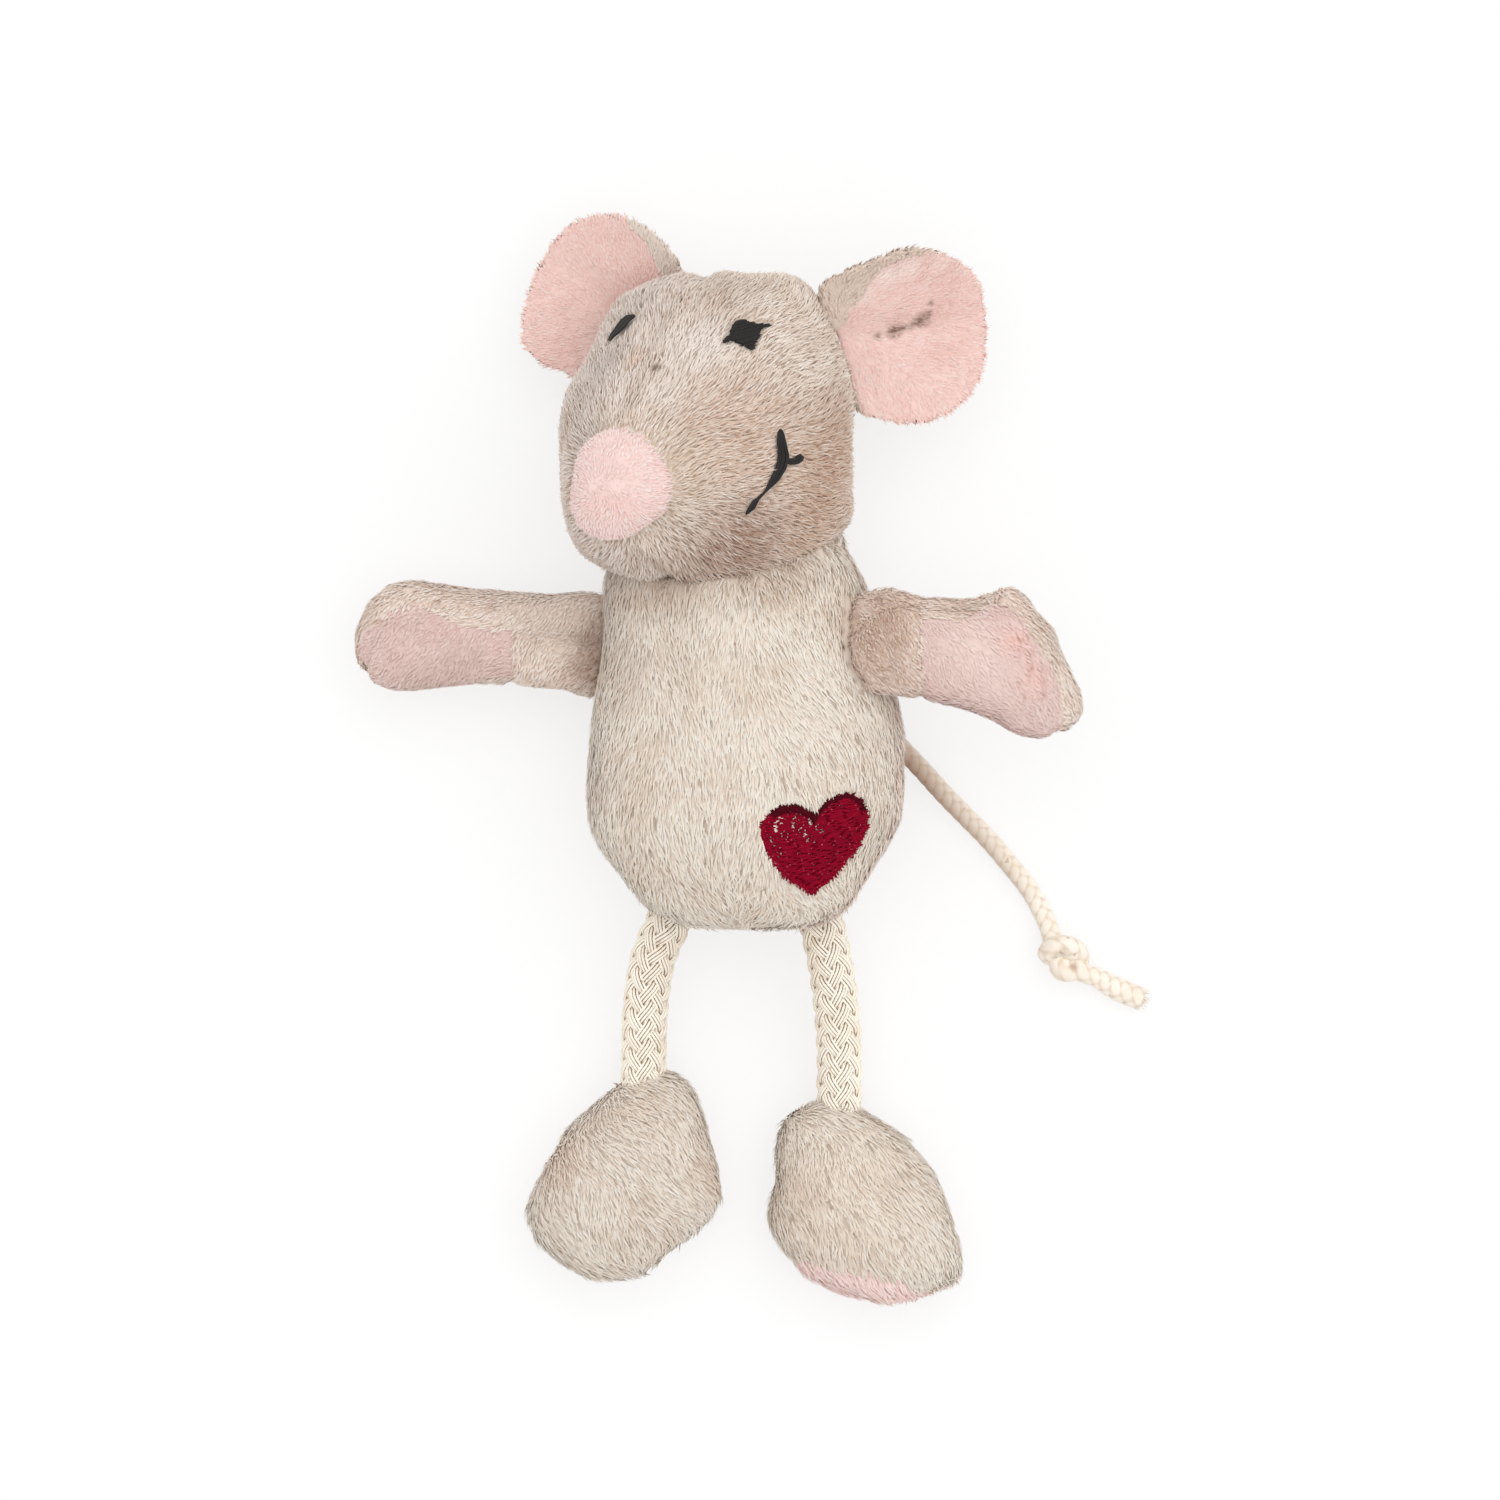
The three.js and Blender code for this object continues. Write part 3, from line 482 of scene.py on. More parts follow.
def finished(piece, kind, **settings):
    """Adds one modifier to a piece and applies it."""
    pick_out(piece)
    modifier = piece.modifiers.new("work", kind)
    for name, value in settings.items():
        setattr(modifier, name, value)
    bpy.ops.object.modifier_apply(modifier=modifier.name)


def bag_of(name, nodes, voxel, slack, smoothing=4):
    """One closed skin round some cut pieces, drawn in by slack, which the pile fills out again."""
    bpy.ops.object.select_all(action="DESELECT")
    for node in nodes:
        cut[node].hide_set(False)
        cut[node].select_set(True)
    bpy.context.view_layer.objects.active = cut[nodes[0]]
    bpy.ops.object.duplicate()
    bpy.ops.object.join()
    bag = bpy.context.object
    bpy.ops.object.parent_clear(type="CLEAR_KEEP_TRANSFORM")
    for key in list(bag.keys()):
        del bag[key]
    bag.data.materials.clear()
    bpy.ops.object.mode_set(mode="EDIT")
    bpy.ops.mesh.select_all(action="SELECT")
    bpy.ops.mesh.remove_doubles(threshold=1e-7)
    bpy.ops.object.mode_set(mode="OBJECT")
    finished(bag, "REMESH", mode="VOXEL", voxel_size=voxel)
    pick_out(bag)
    bpy.ops.object.mode_set(mode="EDIT")
    bpy.ops.mesh.separate(type="LOOSE")
    bpy.ops.object.mode_set(mode="OBJECT")
    shells = sorted(bpy.context.selected_objects, key=lambda shell: Vector(shell.dimensions).length)
    for shell in shells[:-1]:
        bpy.data.objects.remove(shell)
    bag = shells[-1]
    bag.name = name
    finished(bag, "SMOOTH", factor=0.5, iterations=smoothing)
    move_points(bag, points_of(bag) - normals_of(bag) * slack)
    return bag


def tree_of(piece):
    return BVHTree.FromPolygons(
        [point.co[:] for point in piece.data.vertices], [face.vertices[:] for face in piece.data.polygons]
    )


def distances(places, nodes):
    """How far each place is from each of some cut pieces."""
    trees = [tree_of(cut[node]) for node in nodes]
    return np.array([[tree.find_nearest(place)[3] for tree in trees] for place in places])


def from_seam(places, nodes):
    near = np.sort(distances(places, nodes), axis=1)
    return near[:, 1] - near[:, 0]


def swell(bag, nodes, push, most):
    """The cloth pushed out from inside by at most most, while the seams hold. It is worked out at
    ten times its size, where the cloth is steady."""
    before = points_of(bag)
    held = np.flatnonzero(from_seam(before, nodes) < SEAM_HELD)
    bag.data.transform(Matrix.Scale(10, 4))
    seams = bag.vertex_groups.new(name="seams")
    seams.add([int(point) for point in held], 1, "REPLACE")
    pick_out(bag)
    cloth = bag.modifiers.new("cloth", "CLOTH").settings
    cloth.vertex_group_mass = "seams"
    cloth.use_pressure = True
    cloth.uniform_pressure_force = push
    cloth.effector_weights.gravity = 0
    for step in range(1, CLOTH_STEPS + 1):
        scene.frame_set(step)
    bpy.ops.object.modifier_apply(modifier="cloth")
    bag.vertex_groups.clear()
    bag.data.transform(Matrix.Scale(0.1, 4))
    moved = points_of(bag) - before
    far = np.linalg.norm(moved, axis=1)[:, None]
    move_points(bag, before + moved * np.minimum(1, most / np.maximum(far, 1e-9)))
    scene.frame_set(1)


def stuffed(bag, nodes, push, most):
    """Stuffing pressed into a bag, whose cloth is then smoothed to finer faces."""
    swell(bag, nodes, push, most)
    finished(bag, "SUBSURF", levels=1, render_levels=1)


def seamed(bag, nodes, depth, wide):
    """The seams between some cut pieces, pulled in below the cloth beside them."""
    places = points_of(bag)
    pull = depth * np.exp(-((from_seam(places, nodes) / wide) ** 2))
    move_points(bag, places - normals_of(bag) * pull[:, None])


def beside(places, line):
    """How far each place is from a line of points in millimetres, both seen from above."""
    ends, away = np.array(line) / 1000, []
    for a, b in zip(ends, ends[1:]):
        run = np.clip((places[:, :2] - a) @ (b - a) / ((b - a) @ (b - a)), 0, 1)
        away.append(np.linalg.norm(places[:, :2] - a - run[:, None] * (b - a), axis=1))
    return np.min(away, axis=0)


def folded(bag, line, depth, wide):
    """A fold along a line seen from above, pressed into the upper side of a bag."""
    places, ways = points_of(bag), normals_of(bag)
    press = depth * np.exp(-((beside(places, line) / wide) ** 2)) * (ways[:, 2] > 0.05)
    move_points(bag, places - ways * press[:, None])


def nudged(bag, *moves):
    """Soft pushes of a bag's shape, each about a place with its reach and shift. A place of two
    numbers is one seen from above, and takes all that lies below it along. A shift of two is level."""
    for *centre, reach, shift in moves:
        places, shift = points_of(bag), [*shift, 0][:3]
        away = np.linalg.norm(places[:, :len(centre)] - np.array(centre) / 1000, axis=1) / (reach / 1000)
        ease = np.clip(1 - away**2, 0, 1) ** 2
        move_points(bag, places + ease[:, None] * np.array(shift) / 1000)


def drawn_to(bag, nodes, near):
    """The rim of a bag drawn up to the pieces that it is sewn to, to close the seam."""
    trees = [tree_of(cut[node]) for node in nodes]
    places = points_of(bag)
    for number, place in enumerate(places):
        found = min((tree.find_nearest(place) for tree in trees), key=lambda hit: hit[3])
        if found[3] < near:
            pull = found[3] * (1 - (found[3] / near) ** 2)
            places[number] = place + unit(np.array(found[0]) - place) * pull
    move_points(bag, places)


def cut_apart(bag, nodes, resewn=None):
    """The bag as one open sheet for each cut piece that it is sewn from. resewn() moves a seam: it
    gets the middles of the faces, in millimetres, and the number of the piece each belongs to."""
    places = points_of(bag)
    places[:, 2] = np.maximum(places[:, 2], CLOTH_REST)
    move_points(bag, places)
    mesh = bag.data
    middles = np.array([face.center[:] for face in mesh.polygons])
    owner = distances(middles, nodes).argmin(axis=1)
    if resewn:
        owner = resewn(middles * 1000, owner)
    sheets = {}
    for number, node in enumerate(nodes):
        part = bag.copy()
        part.data = mesh.copy()
        part.name = part.data.name = f"{node}_skin"
        scene.collection.objects.link(part)
        pick_out(part)
        for kind in ("vertices", "edges"):
            rows = getattr(part.data, kind)
            rows.foreach_set("select", np.zeros(len(rows), bool))
        part.data.polygons.foreach_set("select", owner != number)
        bpy.ops.object.mode_set(mode="EDIT")
        bpy.ops.mesh.select_mode(type="FACE")
        bpy.ops.mesh.delete(type="FACE")
        bpy.ops.object.mode_set(mode="OBJECT")
        sheets[node] = part
    bpy.data.objects.remove(bag)
    return sheets


def drift(places, size, seed):
    """A gentle wandering direction at each place, which changes over about size metres."""
    chance = np.random.default_rng(seed)
    waves = unit(chance.normal(size=(5, 3))) * 2 * np.pi / size
    turns = np.sin(places @ waves.T + chance.uniform(0, 2 * np.pi, 5))
    return turns @ unit(chance.normal(size=(5, 3))) / 2


def pile(sheet, name, lay, long, thick, per_mm2, seed, rise=(10, -1), bare=None, rim=None):
    """Pile on an open sheet. Each tuft is a closed three-sided spike that stands up from the cloth
    and then bends over the way that lay() says. bare() says which places it leaves uncovered. A rim
    is another cut piece and how near to it the pile of the underside is short. Below the toy the
    pile is pressed flat between the cloth and the table."""
    chance = np.random.default_rng(seed)
    places, ways, corners = points_of(sheet), normals_of(sheet), corners_of(sheet)
    a, b, c = (places[corners[:, k]] for k in range(3))
    area = np.linalg.norm(np.cross(b - a, c - a), axis=1) / 2
    count = int(area.sum() * 1e6 * per_mm2)
    on = chance.choice(len(corners), count, p=area / area.sum())
    u, v = chance.random((2, count, 1))
    u, v = np.where(u + v > 1, 1 - u, u), np.where(u + v > 1, 1 - v, v)
    root = a[on] * (1 - u - v) + b[on] * u + c[on] * v
    out = ways[corners[on]]
    out = unit(out[:, 0] * (1 - u - v) + out[:, 1] * u + out[:, 2] * v)
    way = unit(lay(root, out)) + TUFT_STRAY * chance.normal(size=(count, 3))
    way = unit(way - out * (way * out).sum(1, keepdims=True))
    keep = (out[:, 2] > -0.45) | (chance.random(count) < 0.4)
    length = long * chance.uniform(0.7, 1.2, (count, 1))
    if rim:
        edge = tree_of(cut[rim[0]])
        for number in np.flatnonzero(out[:, 2] < 0.2):
            if edge.find_nearest(root[number])[3] < rim[1]:
                length[number] *= 0.4
    if bare:
        keep &= ~bare(root + way * length * 0.3)
        length[bare(root + way * length * 0.85)] *= 0.55
    root, out, way, length, count = root[keep], out[keep], way[keep], length[keep], int(keep.sum())
    side = np.cross(out, way)
    lift = np.radians(np.array(rise) + chance.normal(size=(count, 2)) * (6, 5))[..., None]
    first = way * np.cos(lift[:, 0]) + out * np.sin(lift[:, 0])
    second = way * np.cos(lift[:, 1]) + out * np.sin(lift[:, 1])
    second = unit(second + side * chance.normal(0, 0.16, (count, 1)))
    bend = root + first * length * TUFT_STANDS
    end = bend + second * length * (1 - TUFT_STANDS)
    rings = []
    for at, heading, size in ((root - out * 0.0002, first, thick), (bend, second, thick * 0.86)):
        above = np.cross(heading, side)
        rings += [at - side * size / 2, at + side * size / 2, at + above * size * TUFT_FLAT]
    spikes = np.stack([*rings, end], axis=1)
    low = np.minimum(spikes[..., 2] - CLOTH_REST, 0)
    spikes[..., 2] += CLOTH_REST * 0.9 * (np.exp(low / 0.0006) - 1) - low
    inner = ([0, 1, 4, 3], [3, 4, 6])
    walls = [inner[0], [1, 2, 5, 4], [2, 0, 3, 5]]
    tips = [inner[1], [4, 5, 6], [5, 3, 6], [2, 1, 0]]
    first_point = np.arange(count)[:, None] * 7
    faces = [np.vstack([first_point + corners for corners in group]) for group in (walls, tips)]
    grown = made_mesh(name, spikes.reshape(-1, 3), *faces)
    round_ways = np.stack([-side, side, out, -side, side, out, out], axis=1)
    soft = unit(0.1 * round_ways + 0.9 * out[:, None] + [0, 0, 0.4])
    back = np.repeat(-out[:, None], 7, axis=1)
    shading = [(back if corners in inner else soft)[:, corners].reshape(-1, 3) for corners in walls + tips]
    grown.data.normals_split_custom_set(np.vstack(shading))
    painted(grown, "reach", np.tile([0, 0, 0, 0.5, 0.5, 0.55, 1], count))
    painted(grown, "tint", np.repeat(chance.random(count), 7))
    return grown


def plumb(skin, x, y):
    """Where a plumb line meets a skin from above, or None."""
    return skin.ray_cast(Vector((x, y, 0.1)), -UPWARDS)[0]


def under(node, places):
    """Which places lie below a cut piece, seen from above."""
    low, high = (np.array(corner)[:2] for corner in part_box(node))
    below = ((places[:, :2] > low) & (places[:, :2] < high)).all(axis=1) & (places[:, 2] > BELLY_SIDE)
    patch = tree_of(cut[node])
    for number in np.flatnonzero(below):
        below[number] = plumb(patch, *places[number, :2]) is not None
    return below


def seen_on(node, *patches):
    """Patches of another colour on the upper side of a cut piece. Each is given by where it is
    seen from above and its radius in millimetres, its strength and its colour."""
    skin, found = tree_of(cut[node]), []
    for x, y, radius, strength, tone in patches:
        x, y = x / 1000, y / 1000
        hit = plumb(skin, x, y) or skin.find_nearest(Vector((x, y, 0.03)))[0]
        found.append((tuple(hit), radius / 1000, strength, colour(*tone)))
    return found


def plush(name, root, tip, brown, brown_share, pale, patches=(), flecks=0.5):
    """Dyed pile with single brown, dark and pale tufts, cloudy all over, and with patches of another
    colour, of which some are painted shade and some painted highlight. It is darker at its roots, and so is
    the cloth below it: painted shade between the tufts."""
    made, dye = dye_bath(name)
    tint, cloud = dye.layer("tint"), dye.noise(130, 2)
    # Painted shade: darker from the tips down to the roots, and on the cloth, which has no reach.
    pelt = dye.layer("reach").between(0, 0.75).blend(colour(*root), colour(*tip))
    some_brown = (tint + cloud * 0.5).between(1.22 - brown_share, 1.32 - brown_share)
    pelt = (some_brown * 0.38).blend(pelt, colour(*brown))
    pelt = (tint.between(0.22, 0.12) * 0.5).blend(pelt, colour(*pale))
    pelt = (cloud.between(0.45, 0.68) * 0.2).blend(pelt, colour(*brown))
    for *spot, tone in patches:
        pelt = (dye.near(*spot) * (tint * 0.9 + 0.55)).blend(pelt, tone)
    dark = colour(*(value * 0.74 for value in brown))
    pelt = (tint.between(0.975, 0.98) * flecks).blend(pelt, dark)
    sheen = {"Sheen Weight": 0.25, "Sheen Roughness": 0.5, "Specular IOR Level": 0.25}
    dye.surface(pelt, 0.9, dye.noise(2600, 2), 0.25, sheen)
    return made


def dressed(piece, body, finish):
    """Gives a piece its finish and its place in the toy."""
    piece.data.materials.clear()
    piece.data.materials.append(finish)
    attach(piece, body)


def sewn_in(sheet, node, body, slot, finish, wall, fill, *tufts, **more):
    """One cut piece of plush: its pile, and the open sheet given its thickness."""
    dressed(pile(sheet, f"{node}_pile", *tufts, **more), body, finish)
    finished(sheet, "SOLIDIFY", thickness=wall, offset=-1)
    sheet.data.shade_smooth()
    dressed(sheet, body, finish)
    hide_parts(node)


def filled(node, body, seed, voxel):
    """The stuffing: a lump of crimped polyester fibre, smaller than the skin round it."""
    lump = bag_of(f"{node}_fibre", [node], voxel, STUFFING_SLACK, 2)
    places = points_of(lump)
    tufts = drift(places, 0.004, seed) + 0.6 * drift(places, 0.0017, seed + 1)
    dent = np.clip((tufts * normals_of(lump)).sum(1, keepdims=True) + 0.5, 0, 1.5)
    move_points(lump, places - normals_of(lump) * dent * 0.0005)
    lump.data.shade_smooth()
    dressed(lump, body, fibre_fill)
    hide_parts(node)


fibre_fill, dye = dye_bath("polyester_fibre")
crimp = dye.noise(1400, 4, Distortion=1.5)
white_fibre = crimp.between(0.3, 0.7).blend(colour(218, 216, 210), colour(248, 247, 243))
dye.surface(white_fibre, 0.8, crimp, 0.6, {"Sheen Weight": 0.2}, 0.0003)

body_nodes = ["body_front_panel", "body_back_panel"]
body_bag = bag_of("body_bag", [*body_nodes, "body_stuffing"], 0.0013, -0.0002)
stuffed(body_bag, body_nodes, 4, 0.0005)
drawn_to(body_bag, ["head_left_panel", "head_right_panel"], 0.0032)
nudged(body_bag, (19.4, 24.5, 7, (1, 0.9)), (25, -5, 11, (-0.3, 0.3)), (-15, -16, 8, (0.3, 0.3)),
       (22, -15, 9, (-1, 0.6)), (4, -23, 12, (0, 0.5)), (-8, 24, 31, 10, (0, -1.2, -1)),
       (5, 24, 31, 10, (0, -1.2, -1)), (18.7, 28.5, 4.5, (-0.5, -0.1)), (-18, -10, 8, (-0.3, 0)))
armpit = [(17.5, 22.4), (17.1, 17.2), (17.6, 13.6), (19.3, 9.6)]
folded(body_bag, armpit, 0.0005, 0.0006)
seamed(body_bag, body_nodes, 0.0006, 0.0011)
body_sheets = cut_apart(body_bag, body_nodes)


def body_lay(root, out):
    spread = (root[:, 0] - 0.0037) / 0.021
    down = np.column_stack([0.16 + 0.3 * spread, np.full(len(root), -1.0), np.zeros(len(root))])
    return down + 0.35 * drift(root, 0.016, 3)


# Painted shade: a thin dark line in the crease of the right armpit.
armpit_shade_line = [(17.4, 22.4, 0.8), (17.1, 20.2, 0.9), (17, 17.8, 0.9), (17.2, 15.4, 0.9), (17.8, 13, 0.9),
             (18.7, 10.8, 0.8), (19.5, 9.2, 0.6)]
# Front patches: two of painted shadow under the chin, one of painted shade low on the left side, two by the
# left arm that are partly a brown stain and partly painted shade, and one of painted shade beside the right
# arm.
cream = plush(
    "cream_plush", (227, 205, 185), (232, 224, 211), (201, 172, 148), 0.12, (236, 232, 226),
    seen_on("body_front_panel", (-15, 22, 13, 0.55, (194, 176, 164)), (-5, 26, 11, 0.6, (198, 173, 155)),
            (7, 27, 11, 0.6, (198, 173, 155)), (-16.5, 12, 9, 0.4, (190, 168, 153)),
            (-17, -2, 10, 0.4, (198, 184, 176)), (18, 17, 7, 0.3, (200, 168, 146)),
            *((x, y, 0.9, strength, (110, 76, 60)) for x, y, strength in armpit_shade_line)))
grey_back = plush("grey_plush_back", (202, 175, 155), (227, 213, 201), (187, 156, 136), 0.2, (236, 230, 224))


def body_bare(places):
    creased = (beside(places, armpit) < 0.00045) & (places[:, 2] > BELLY_SIDE)
    return under("heart_patch", places) | creased


for node, finish, slot, seed, bare, rim in (
    ("body_front_panel", cream, "cream_plush", 11, body_bare, None),
    ("body_back_panel", grey_back, "grey_plush", 12, None, ("body_front_panel", 0.0016)),
):
    sewn_in(body_sheets[node], node, "torso", slot, finish, 0.0009, 0.85,
            body_lay, 0.0027, 0.00038, 5.6, seed, bare=bare, rim=rim)
filled("body_stuffing", "torso", 21, 0.0018)


# Head: two cheeks of grey plush sewn together over the crown and along the snout, and a round
# pink nose sewn over the tip. It is stuffed firmly, and its pile runs back from the nose.
head_nodes = ["head_left_panel", "head_right_panel", "nose_cap"]
NOSE_TIP = np.array([-0.0136, 0.0376, 0.0455])
HEAD_MIDDLE = np.array([-0.001, 0.0454, 0.0191])
HEAD_SIDE = np.array([0.891, 0, 0.454])


def across_head(way):
    """A direction on the right cheek, as it lies on the left one."""
    way = np.array(way, float)
    return Vector(way - 2 * (way @ HEAD_SIDE) * HEAD_SIDE)


head_bag = bag_of("head_bag", [*head_nodes, "head_stuffing"], 0.0013, 0.0004)
stuffed(head_bag, head_nodes, 4, 0.0005)
nudged(head_bag, (12, 65.5, 9, (0.7, 2.2)), (-19, 29.5, 10, (-2, -2)), (20, 42, 9, (-0.8, 0)),
       (-3, 67, 10, (0, 0.8)), (6, 67, 8, (0, 0.4)), (-2.4, 66.6, 3, (0, -0.6)),
       (-8, 37.5, 43, 8, (2.6, 0)), (-20, 38, 42, 6, (0.3, 0)), (17, 32, 6, (0.9, 0)),
       (-20.5, 37, 7, (-0.4, 0)), (-19.5, 52, 7, (0.6, 0)), (-18.5, 58, 9, (1.9, -0.5)),
       (-9, 26, 33, 13, (0, -2, 0.5)), (5, 27.5, 33, 13, (0, -2.1, 0.5)), (13, 31, 28, 8, (0.2, -1.2, 0.3)))
seamed(head_bag, head_nodes, 0.0011, 0.0012)
head_skin = tree_of(head_bag)
head_sheets = cut_apart(head_bag, head_nodes)


def head_lay(root, out):
    away = unit(root - NOSE_TIP)
    return away + 0.3 * drift(root, 0.014, 5)


def nose_lay(root, out):
    away = unit(root - NOSE_TIP)
    return np.array([0.3, 0.1, -0.4]) + away * 0.8 + 0.4 * drift(root, 0.006, 6)


# Cheek patches: the greyer ones down the left cheek and the darker ones towards the chin on both cheeks are
# painted shade; the brown over the right cheek is partly the pile's own tint and partly painted shade.
cheeks = {
    "left": ((230, 217, 208), [
        (-12, 62, 8, 0.5, (196, 186, 178)), (-17, 54, 9, 0.5, (198, 190, 184)),
        (-19, 44, 8, 0.5, (196, 184, 174)), (-16, 28, 9, 0.6, (164, 142, 126)),
        (-10.8, 55.5, 3.2, 0.6, (206, 174, 148)), (-12.6, 49, 2.4, 0.5, (206, 174, 148))]),
    "right": ((232, 218, 205), [
        (3, 44, 15, 0.55, (206, 172, 150)), (-3, 27, 10, 0.55, (172, 142, 124)),
        (-3, 57, 9, 0.6, (240, 231, 224)), (-7.5, 50, 6, 0.5, (236, 226, 218)),
        (2, 64, 9, 0.4, (198, 182, 168)), (15, 60, 8, 0.5, (198, 176, 158)),
        (16, 42, 14, 0.7, (186, 146, 120)), (12, 33, 11, 0.6, (184, 144, 118)),
        (3, 30, 11, 0.8, (168, 134, 116)), (-8, 26, 9, 0.7, (174, 150, 132)),
        (-2.4, 28.2, 2.4, 0.8, (122, 88, 72)), (-0.6, 29.6, 2, 0.6, (122, 88, 72)),
        (-8.6, 53.4, 1.3, 0.9, (112, 82, 66)), (-6.4, 63.5, 2, 0.5, (176, 154, 138)),
        (-4, 40, 8, 0.2, (232, 214, 190))]),
}
grey_cheek = {
    hand: plush(f"grey_plush_{hand}", (206, 177, 154), tip, (191, 160, 138), 0.2, (240, 236, 229),
                seen_on(f"head_{hand}_panel", *patches))
    for hand, (tip, patches) in cheeks.items()
}
pink = plush("pink_plush", (240, 194, 186), (244, 222, 216), (234, 189, 178), 0.06, (246, 235, 231),
             flecks=0.15)


def onto_face(seen):
    """Places on the skin of the head below some points seen from above, in millimetres."""
    return np.array([plumb(head_skin, *point[:2] / 1000) for point in seen])


def on_left_cheek(line):
    """A line on the right cheek, mirrored to the left one and laid on its skin, a little lower."""
    line = line - 2 * ((line - HEAD_MIDDLE) @ HEAD_SIDE)[:, None] * HEAD_SIDE
    return np.array([head_skin.find_nearest(point - [0, 0, 0.0015])[0] for point in line])


def stroke_lines(strokes, thick, mirrored=False):
    """Threads side by side along strokes on the face. A stroke is a row of points seen from above,
    each with the width there, in millimetres."""
    lines = []
    for stroke in strokes:
        stroke = np.array(stroke)
        run, widest = run_along(stroke[:, :2]), stroke[:, 2].max()
        stroke = points_along(stroke, run, np.linspace(0, run[-1], max(7, round(run[-1] / 0.3))))
        spread = np.maximum(stroke[:, 2:] - thick * 1000, 0) / 2
        aside = unit(np.gradient(stroke[:, :2], axis=0))[:, ::-1] * [-1, 1]
        for place in np.linspace(-1, 1, max(2, round(widest / thick / 800))):
            line = onto_face(stroke[:, :2] + aside * spread * place)
            lines.append(on_left_cheek(line) if mirrored else line)
    return lines


STITCH_STEP = 0.00012
STITCH_GAP = 0.0002


def stitch_lines(patch, places, heading, longest, seed):
    """Where each stitch of a filled shape runs: rows across it, a gap apart, from edge to edge."""
    chance, lines = np.random.default_rng(seed), []
    heading = unit(np.array([*heading, 0]))
    aside = np.cross(UPWARDS, heading)
    runs, rows = places @ heading, places @ aside
    for row in np.arange(rows.min() + STITCH_GAP / 3, rows.max(), STITCH_GAP):
        found = []
        for along in np.arange(runs.min() - STITCH_STEP, runs.max() + 2 * STITCH_STEP, STITCH_STEP):
            hit = plumb(patch, *(heading * along + aside * row)[:2])
            if hit is not None:
                found.append(np.array(hit))
            elif found:
                lines += stitches_in(found, longest, chance)
                found = []
    return lines


def stitches_in(found, longest, chance):
    """One row of points as stitches no longer than longest, which start at odd places."""
    if len(found) < 4:
        return []
    run = np.array(found)
    if longest is None:
        return [run]
    each = max(4, round(longest / STITCH_STEP))
    cuts = [0, *range(chance.integers(3, each), len(run) - 3, each), len(run)]
    return [run[a:b] for a, b in zip(cuts, cuts[1:]) if b - a > 2]


FACE_THREAD = 0.00034
smile = [
    (8.33, 45.03, 0.5), (8.42, 44.24, 1), (8.48, 43.36, 1.27), (8.77, 41.35, 1.6), (8.48, 39.93, 1.5),
    (7.76, 38.51, 1.25), (7.08, 37.57, 0.9), (6.36, 36.69, 0.4), (5.33, 35.56, 0.35), (4.93, 35.12, 0.8),
    (4.45, 34.34, 0.9), (3.61, 33.42, 0.3),
]
smile_branch = [(8.81, 40.81, 0.8), (9.98, 40.61, 0.9), (10.67, 40.81, 1), (11.06, 41.2, 1.3),
                (11.36, 41.5, 0.9)]
left_eye = [(-14.6, 57.3, 0.4), (-13.5, 58.4, 0.7), (-12.8, 59.2, 1.05), (-12.1, 60.1, 1), (-11.1, 60.7, 0.4)]
right_eye = [
    (1.36, 58.44), (1.95, 59.42), (2.53, 60.01), (3.42, 60.11), (4.59, 59.71), (5.18, 59.47),
    (6.85, 59.57), (6.9, 59.22), (5.72, 58.93), (5.67, 58.24), (5.18, 57.46), (4.89, 56.48),
    (4.59, 55.6), (4.1, 56.09), (3.42, 56.48), (2.63, 56.77), (1.75, 57.26), (0.67, 56.87),
    (0.67, 57.36), (1.36, 57.85),
]
star_points = np.array([(x / 1000, y / 1000, 0.03) for x, y in right_eye])
star = BVHTree.FromPolygons(star_points.tolist(), [range(len(star_points))])
star_rows = stitch_lines(star, star_points, (1, 0.25), None, 72)
face_lines = {
    "mouth_right": stroke_lines([smile, smile_branch], FACE_THREAD),
    "mouth_left": stroke_lines([smile, smile_branch], FACE_THREAD, True),
    "eye_left": stroke_lines([left_eye], FACE_THREAD / 3),
    "eye_right": [onto_face(row * 1000) for row in star_rows],
}
face_threads = np.vstack([line for lines in face_lines.values() for line in lines])
face_marks = KDTree(len(face_threads))
for number, point in enumerate(face_threads):
    face_marks.insert(point, number)
face_marks.balance()


def face_bare(places):
    return np.array([face_marks.find(place)[2] < 0.00042 for place in places])


for node, finish, slot, lay, long, rise, seed in (
    ("head_left_panel", grey_cheek["left"], "grey_plush", head_lay, 0.0022, (32, 4), 31),
    ("head_right_panel", grey_cheek["right"], "grey_plush", head_lay, 0.0022, (32, 4), 32),
    ("nose_cap", pink, "pink_plush", nose_lay, 0.0012, (20, 0), 33),
):
    sewn_in(head_sheets[node], node, "head", slot, finish, 0.0009, 0.9,
            lay, long, 0.00027, 7.4, seed, rise, bare=face_bare)
filled("head_stuffing", "head", 23, 0.0018)


